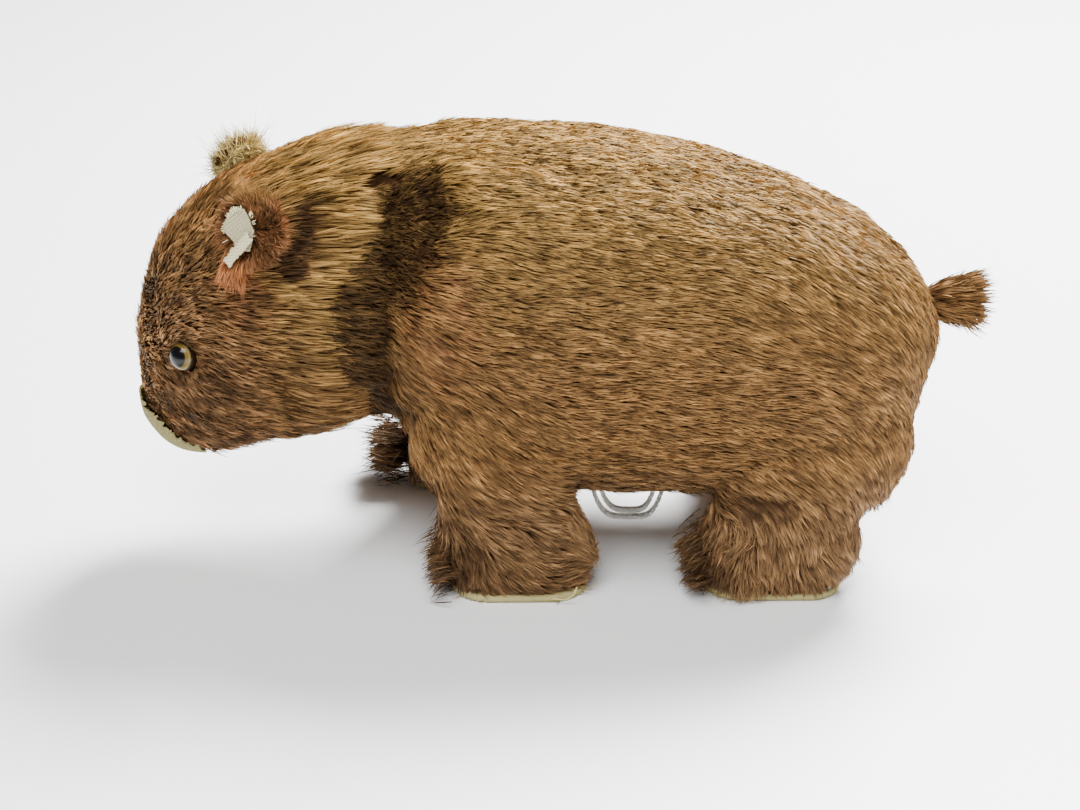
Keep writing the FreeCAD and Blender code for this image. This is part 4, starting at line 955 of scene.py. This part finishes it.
def far_ear():
    """The right ear: its pile has gone to a thin frizz of straw-coloured fibre."""
    rng = np.random.default_rng(22)
    axes = facing_axes(unit((-0.5, 0.75, 0.35)))
    facing = axes[2]
    angle = turns(36)
    rings = []
    for radius, out in ((0.5, 0.6), (2.5, 0.9), (4.5, 1.6), (5.2, 2), (5.2, 0.6), (4, -0.4), (0.5, -0.8)):
        wobble = radius * (1 + 0.05 * np.sin(5 * angle))
        rings.append(oval(FAR_EAR, axes, angle, wobble, 1.05, out))
    Shapes().add(*loft(rings), STRAW).wear("right_ear_flap", BACKING, "head", node="right_ear")

    count = amount(1500, 5200)
    radius = 5.3 * np.sqrt(rng.random(count))
    turn = spins(rng, count)
    front = rng.random(count) < 0.6
    roots = oval(FAR_EAR, axes, turn, radius, 1.05, np.where(front, 1, -0.3))
    normal = np.where(front[:, None], facing, -facing)
    along = out_from(0, axes, np.cos(turn), np.sin(turn) + 0.4) + 1.3 * rng.normal(size=(count, 3))
    tone = STRAW * (0.75 + 0.4 * rng.random((count, 1)))
    bunch("right_ear_pile", roots, along, normal, rng, 2.7, 0.17, 0.5, tone, STRAW * 0.4, clump=0.3, lift=0.6)
    # A few long wisps stand out of it.
    turn = spins(rng, 90)
    roots = oval(FAR_EAR, axes, turn, 5)
    along = out_from(0, axes, np.cos(turn), np.sin(turn) + 0.5) + 0.5 * rng.normal(size=(90, 3))
    bunch("right_ear_wisps", roots, along, facing, rng, 5.5, 0.09, 0.35, STRAW * 1.2, STRAW * 0.8, clump=0)


# ---- eyes, nose, soles, string and tail
def eyes():
    """Painted glass balls, and short pile that stands round them like lids."""
    rng = np.random.default_rng(23)
    for name, side in (("left", LEFT), ("right", RIGHT)):
        facing = EYE_FACING[side]
        centre, radius = eye_centre(name, side)
        centre = centre - facing * 1.5 + LID_RISE
        points, faces = ellipsoid(centre, [radius] * 3, 0, 56, 72, 0.03)
        toward = unit(points - centre) @ unit(facing + [0.08, 0, 0.12])
        angle = np.degrees(np.arccos(np.clip(toward, -1, 1)))
        colour = mixed(PUPIL, AMBER, rise(angle, 43, 47))
        colour = mixed(colour, PALE_AMBER, rise(angle, 54, 60))
        colour = mixed(colour, EYE_RIM, rise(angle, 62, 68))
        Shapes().add(points, faces, colour).wear(name + "_eye_ball", GLASS_EYE, "head", "glass", name + "_eye")

        count = amount(220, 520)
        turn = spins(rng, count)
        outward = oval(0, facing_axes(facing), turn)
        roots = centre + outward * (radius + 0.15 + 0.8 * rng.random((count, 1))) + facing * -0.2
        along = outward * 0.6 + [0.8, 0, 0] + 0.25 * rng.normal(size=(count, 3))
        bunch(name + "_eye_lid", roots, along, facing, rng, 2.2, 0.22, 0.12, FACE_BROWN * 0.9, ROOT * 0.7,
              clump=0.3, lift=0.5)


def nose_edge(u, v):
    """How far inside the nose cloth's outline a place is: u across and v upwards along the muzzle."""
    half = 7.8 - 2.6 * rise(v, 2, 9)
    return np.minimum(half - np.abs(u), 9.6 - np.abs(v))


def nose(skin):
    """Worn cloth over the front and the underside of the muzzle, with a ragged edge."""
    def surface(u, v):
        """Where lines from inside the muzzle leave the skin, and a little beyond."""
        places = []
        for width, turn in zip(u, NOSE_TURN - v / NOSE_REACH):
            away = np.array([-math.cos(turn), 0, -math.sin(turn)])
            start = np.array([MUZZLE[0], width, MUZZLE[1]]) + away * 60
            hit, place, normal, _ = skin.ray_cast(Vector(row(start)), Vector(-away))
            places.append(own(place) + np.array(normal) * 1.3 if hit else start - away * 48)
        return np.array(places)

    cloth = Shapes()
    weave(cloth, surface, 16, 20, 0.5, NOSE, np.random.default_rng(24), 0.8, nose_edge)
    cloth.wear("nose_cloth", CLOTH, "head", "cloth", "nose_patch")


def slot_path(middle, half, radius, count):
    """Points on the ground along a slot's middle line, with the way outwards at each."""
    turn = turns(count)
    shift = np.where(np.cos(turn) > 0, half - radius, radius - half)
    return middle * [1, 1, 0] + np.outer(shift, AXES[0]), oval(0, AXES, turn)


# Rings from the underside of a sole to its top: share of its radius, height, whether the ribs of the cloth show.
SOLE_RINGS = [(0, 0.1, 0), (0.5, 0.05, 0), (0.93, 0.05, 0), (0.99, 0.3, 1), (1, 0.8, 1), (0.98, 1.3, 1),
              (0.9, 1.55, 0), (0.3, 1.6, 0)]
# The left front sole's two long loose threads: share of its half length, path, points, radius, brightness.
LONG_THREADS = [(0.5, [(0, 0, 1), (2.5, -0.8, 1.2), (4.2, -1.2, 2.6), (4.8, -1, 4.4)], 16, 0.14, 1.2),
                (-0.55, [(0, 0, 0.6), (-1, -1.2, 1.4), (-0.6, -1.6, 2.8)], 12, 0.12, 1)]
SOLE_POINTS = 220
POINTS_PER_RIB = 4


def soles():
    """Cloth-covered soles: a ribbed edge, an underside and a few loose threads."""
    rng = np.random.default_rng(25)
    for leg in LEGS:
        foot, size = node_middle(leg + "_sole")
        foot[0] -= rear_shift(leg)
        # The left front sole shows most. The others hide further under their pile.
        half, radius = size[:2] * ([0.80, 0.93] if leg == "left_front" else [0.72, 0.84])
        centre, outward = slot_path(foot, half, radius, SOLE_POINTS)
        rib = 0.14 * np.sin(np.arange(SOLE_POINTS) * 2 * math.pi / POINTS_PER_RIB)
        points, faces = loft([centre + outward * (radius * share + ribbed * rib)[:, None] + [0, 0, z]
                              for share, z, ribbed in SOLE_RINGS])
        tone = 0.8 + 0.2 * noise(points, 4, 71)
        shapes = Shapes().add(points, faces, SOLE * tone[:, None])
        for _ in range(14):
            number = int(rng.random() * SOLE_POINTS)
            start = centre[number] + outward[number] * (radius - 0.2) + [0, 0, 0.3 + 0.8 * rng.random()]
            end = start + outward[number] * (0.6 + 1.4 * rng.random()) + rng.normal(size=3) * 0.5
            end[2] = max(end[2], 0.2)
            thread(shapes, start, end, 0.2, 0.09, 8, SOLE, rng)
        if leg == "left_front":
            for share, path, count, thick, shade in LONG_THREADS:
                start = np.array([foot[0] + half * share, foot[1] - radius, 0])
                shapes.add(*tube(arc(start + path, count), thick), SOLE * shade)
        shapes.points = [np.maximum(places, [-1e3, -1e3, 0.02]) for places in shapes.points]
        shapes.wear(leg + "_sole_cloth", CLOTH, leg + "_leg", "cloth", leg + "_sole")


def string():
    """Two-ply cotton string in a loop under the belly, with a second slack strand beside it."""
    middle, size = node_middle("belly_string")
    half, bottom, top = size[0] * 1.08, middle[2] - size[2] - 3, 17.5
    share = np.linspace(-1, 1, 150)
    shapes = Shapes()
    for shift, drop, spread, seed in ((0, 0, 1, 1), (0.9, 1.1, 0.82, 2)):
        rising = (top - bottom - drop) * np.abs(share) ** 4
        path = np.stack([middle[0] + half * spread * share + 0.3 * np.sin(3 * share + seed),
                         np.full(150, middle[1] + shift), bottom + drop + rising], axis=1)
        for ply in (0, math.pi):
            twist = np.arange(150) * 0.62 + ply
            shapes.add(*tube(path + oval(0, AXES[1:], twist, 0.34), 0.40, 7), WHITE_COTTON)
    shapes.wear("string_loop", COTTON, "body", "cotton", "belly_string")


def foot_fringe():
    """Long ragged pile that hangs over the toes and round the edges of the soles."""
    rng = np.random.default_rng(27)
    for leg in LEGS:
        foot, (half, _, _) = node_middle(leg + "_sole")
        count = amount(500, 2200)
        centre, outward = slot_path(foot - [rear_shift(leg), 0, 0], half * 0.86, 6.4, 400)
        pick = rng.integers(0, 400, count)
        centre, outward = centre[pick], outward[pick]
        height = 1.6 + 3.2 * rng.random(count)
        roots = centre + outward * (-0.7 + 0.4 * rng.random((count, 1))) + np.outer(height, (0, 0, 1))
        along = [0.15, 0, -1] + outward * 0.35 + 0.25 * rng.normal(size=(count, 3))
        tone = pile_colour(roots) * (0.8 + 0.3 * rng.random((count, 1)))
        bunch("fringe_" + leg, roots, along, outward, rng, 3.4 + 0.8 * rise(-outward[:, 0], 0.2, 0.9), 0.24, 0.12,
              tone, ROOT * 0.7, clump=0.55, lift=0.28, region=leg)
        # The toes carry a shaggy tuft; the right front one is the longest.
        count = amount(350, 1100)
        length, droop = (6.6, -0.35) if leg == "right_front" else (4.2, -1.1)
        roots = [foot[0] - half * 0.80, foot[1], 7.5] + rng.normal(size=(count, 3)) * [1.2, 3.4, 2.6]
        roots[:, 2] = np.maximum(roots[:, 2], 1.5)
        along = [-1, 0, droop] + 0.42 * rng.normal(size=(count, 3))
        tone = RED_BROWN * 0.55 * (0.6 + 0.8 * rng.random((count, 1)))
        bunch("toe_" + leg, roots, along, (-0.9, 0, 0.3), rng, length, 0.25, 0.16, tone, ROOT * 0.6, clump=0.6,
              lift=0.25, region=leg)


def tail():
    """A stub of a tail with its pile brushed out to a blunt tuft."""
    rng = np.random.default_rng(26)
    middle, size = node_middle("tail_plush")
    root = middle - [size[0] + 3, 0, 0]
    length = size[0] * 2 * 0.95
    rings = [oval(root + [share * length, 0, 0.4 * share], AXES[1:], turns(28), radius)
             for share, radius in ((0, 1.2), (0.05, 2.6), (0.5, 3.2), (0.8, 3.4), (1, 2.6), (1.05, 0.6))]
    Shapes().add(*loft(rings), ROOT).wear("tail_core", BACKING, "body", node="tail_plush")
    count = amount(900, 3000)
    share = rng.random(count)
    turn = spins(rng, count)
    outward = oval(0, AXES[1:], turn)
    radius = np.interp(share, [0, 0.5, 0.8, 1], [2.4, 3.1, 3.3, 1.6])
    roots = root + np.outer(share * length, (1, 0, 0.04)) + outward * radius[:, None]
    along = [1, 0, -0.05] + outward * (0.15 + 0.4 * share[:, None]) + 0.16 * rng.normal(size=(count, 3))
    tone = BROWN * (0.75 + 0.3 * rng.random((count, 1)))
    bunch("tail_pile", roots, along, outward, rng, 4.6, 0.26, 0.10, tone, ROOT * 0.8, clump=0.5, lift=0.12,
          region="body")


# ---- floor, light and camera
FLOOR_HALF = 3000
AIM_HEIGHT = 40
LAMPS = {"key": ((260, 400, 640), 0.32, 40), "fill": ((-100, -340, 740), 0.5, 10.5)}


def aim(item, place, target):
    """Put a lamp or a camera at a place and turn it towards a target."""
    item.location = place
    item.rotation_euler = (target - item.location).to_track_quat("-Z", "Y").to_euler()


def stage():
    """A pale floor, a key light high over the right rump, a fill light at the left, and a soft sky."""
    corners = [(-1, -1, 0), (1, -1, 0), (1, 1, 0), (-1, 1, 0)]
    material = new_material("pale_floor", Base_Color=(0.92, 0.93, 0.93, 1), Roughness=0.4)[0]
    mesh_object("floor", np.array(corners) * FLOOR_HALF, [(0, 1, 2, 3)], material, smooth=False)
    world = bpy.data.worlds.new("studio")
    bpy.context.scene.world = world
    world.use_nodes = True
    tree = world.node_tree
    background = next(n for n in tree.nodes if n.type == "BACKGROUND")
    background.inputs["Color"].default_value = (0.93, 0.96, 1, 1)
    # The backdrop is a little paler than the light that it adds.
    ray = tree.nodes.new("ShaderNodeLightPath")
    tree.links.new(spread(tree, ray.outputs["Is Camera Ray"], 0.16, 0.32), background.inputs["Strength"])
    for name, (place, size, power) in LAMPS.items():
        light = bpy.data.lights.new(name, "AREA")
        light.size = size
        light.energy = power
        aim(add_object(name, light), row(place), Vector(row((0, 0, AIM_HEIGHT))))


def camera():
    """The photo's view: square to the left flank, and looking down on it."""
    view = bpy.data.cameras.new("camera")
    view.lens = 65
    target = Vector(row((-20.5, 0, 29.3)))
    distance, elevation = 0.40, math.radians(27)
    item = add_object("camera", view)
    aim(item, target + distance * Vector((0, -math.cos(elevation), math.sin(elevation))), target)
    bpy.context.scene.camera = item


dress_metal()
skin = build_skin()
nose(skin)
fur_pieces(*split_skin(skin))
near_ear()
far_ear()
eyes()
soles()
string()
foot_fringe()
tail()
for region in ("body", "head", *LEGS):
    node = region + ("_leg_plush" if region in LEGS else "_plush")
    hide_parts(node)
stage()
camera()
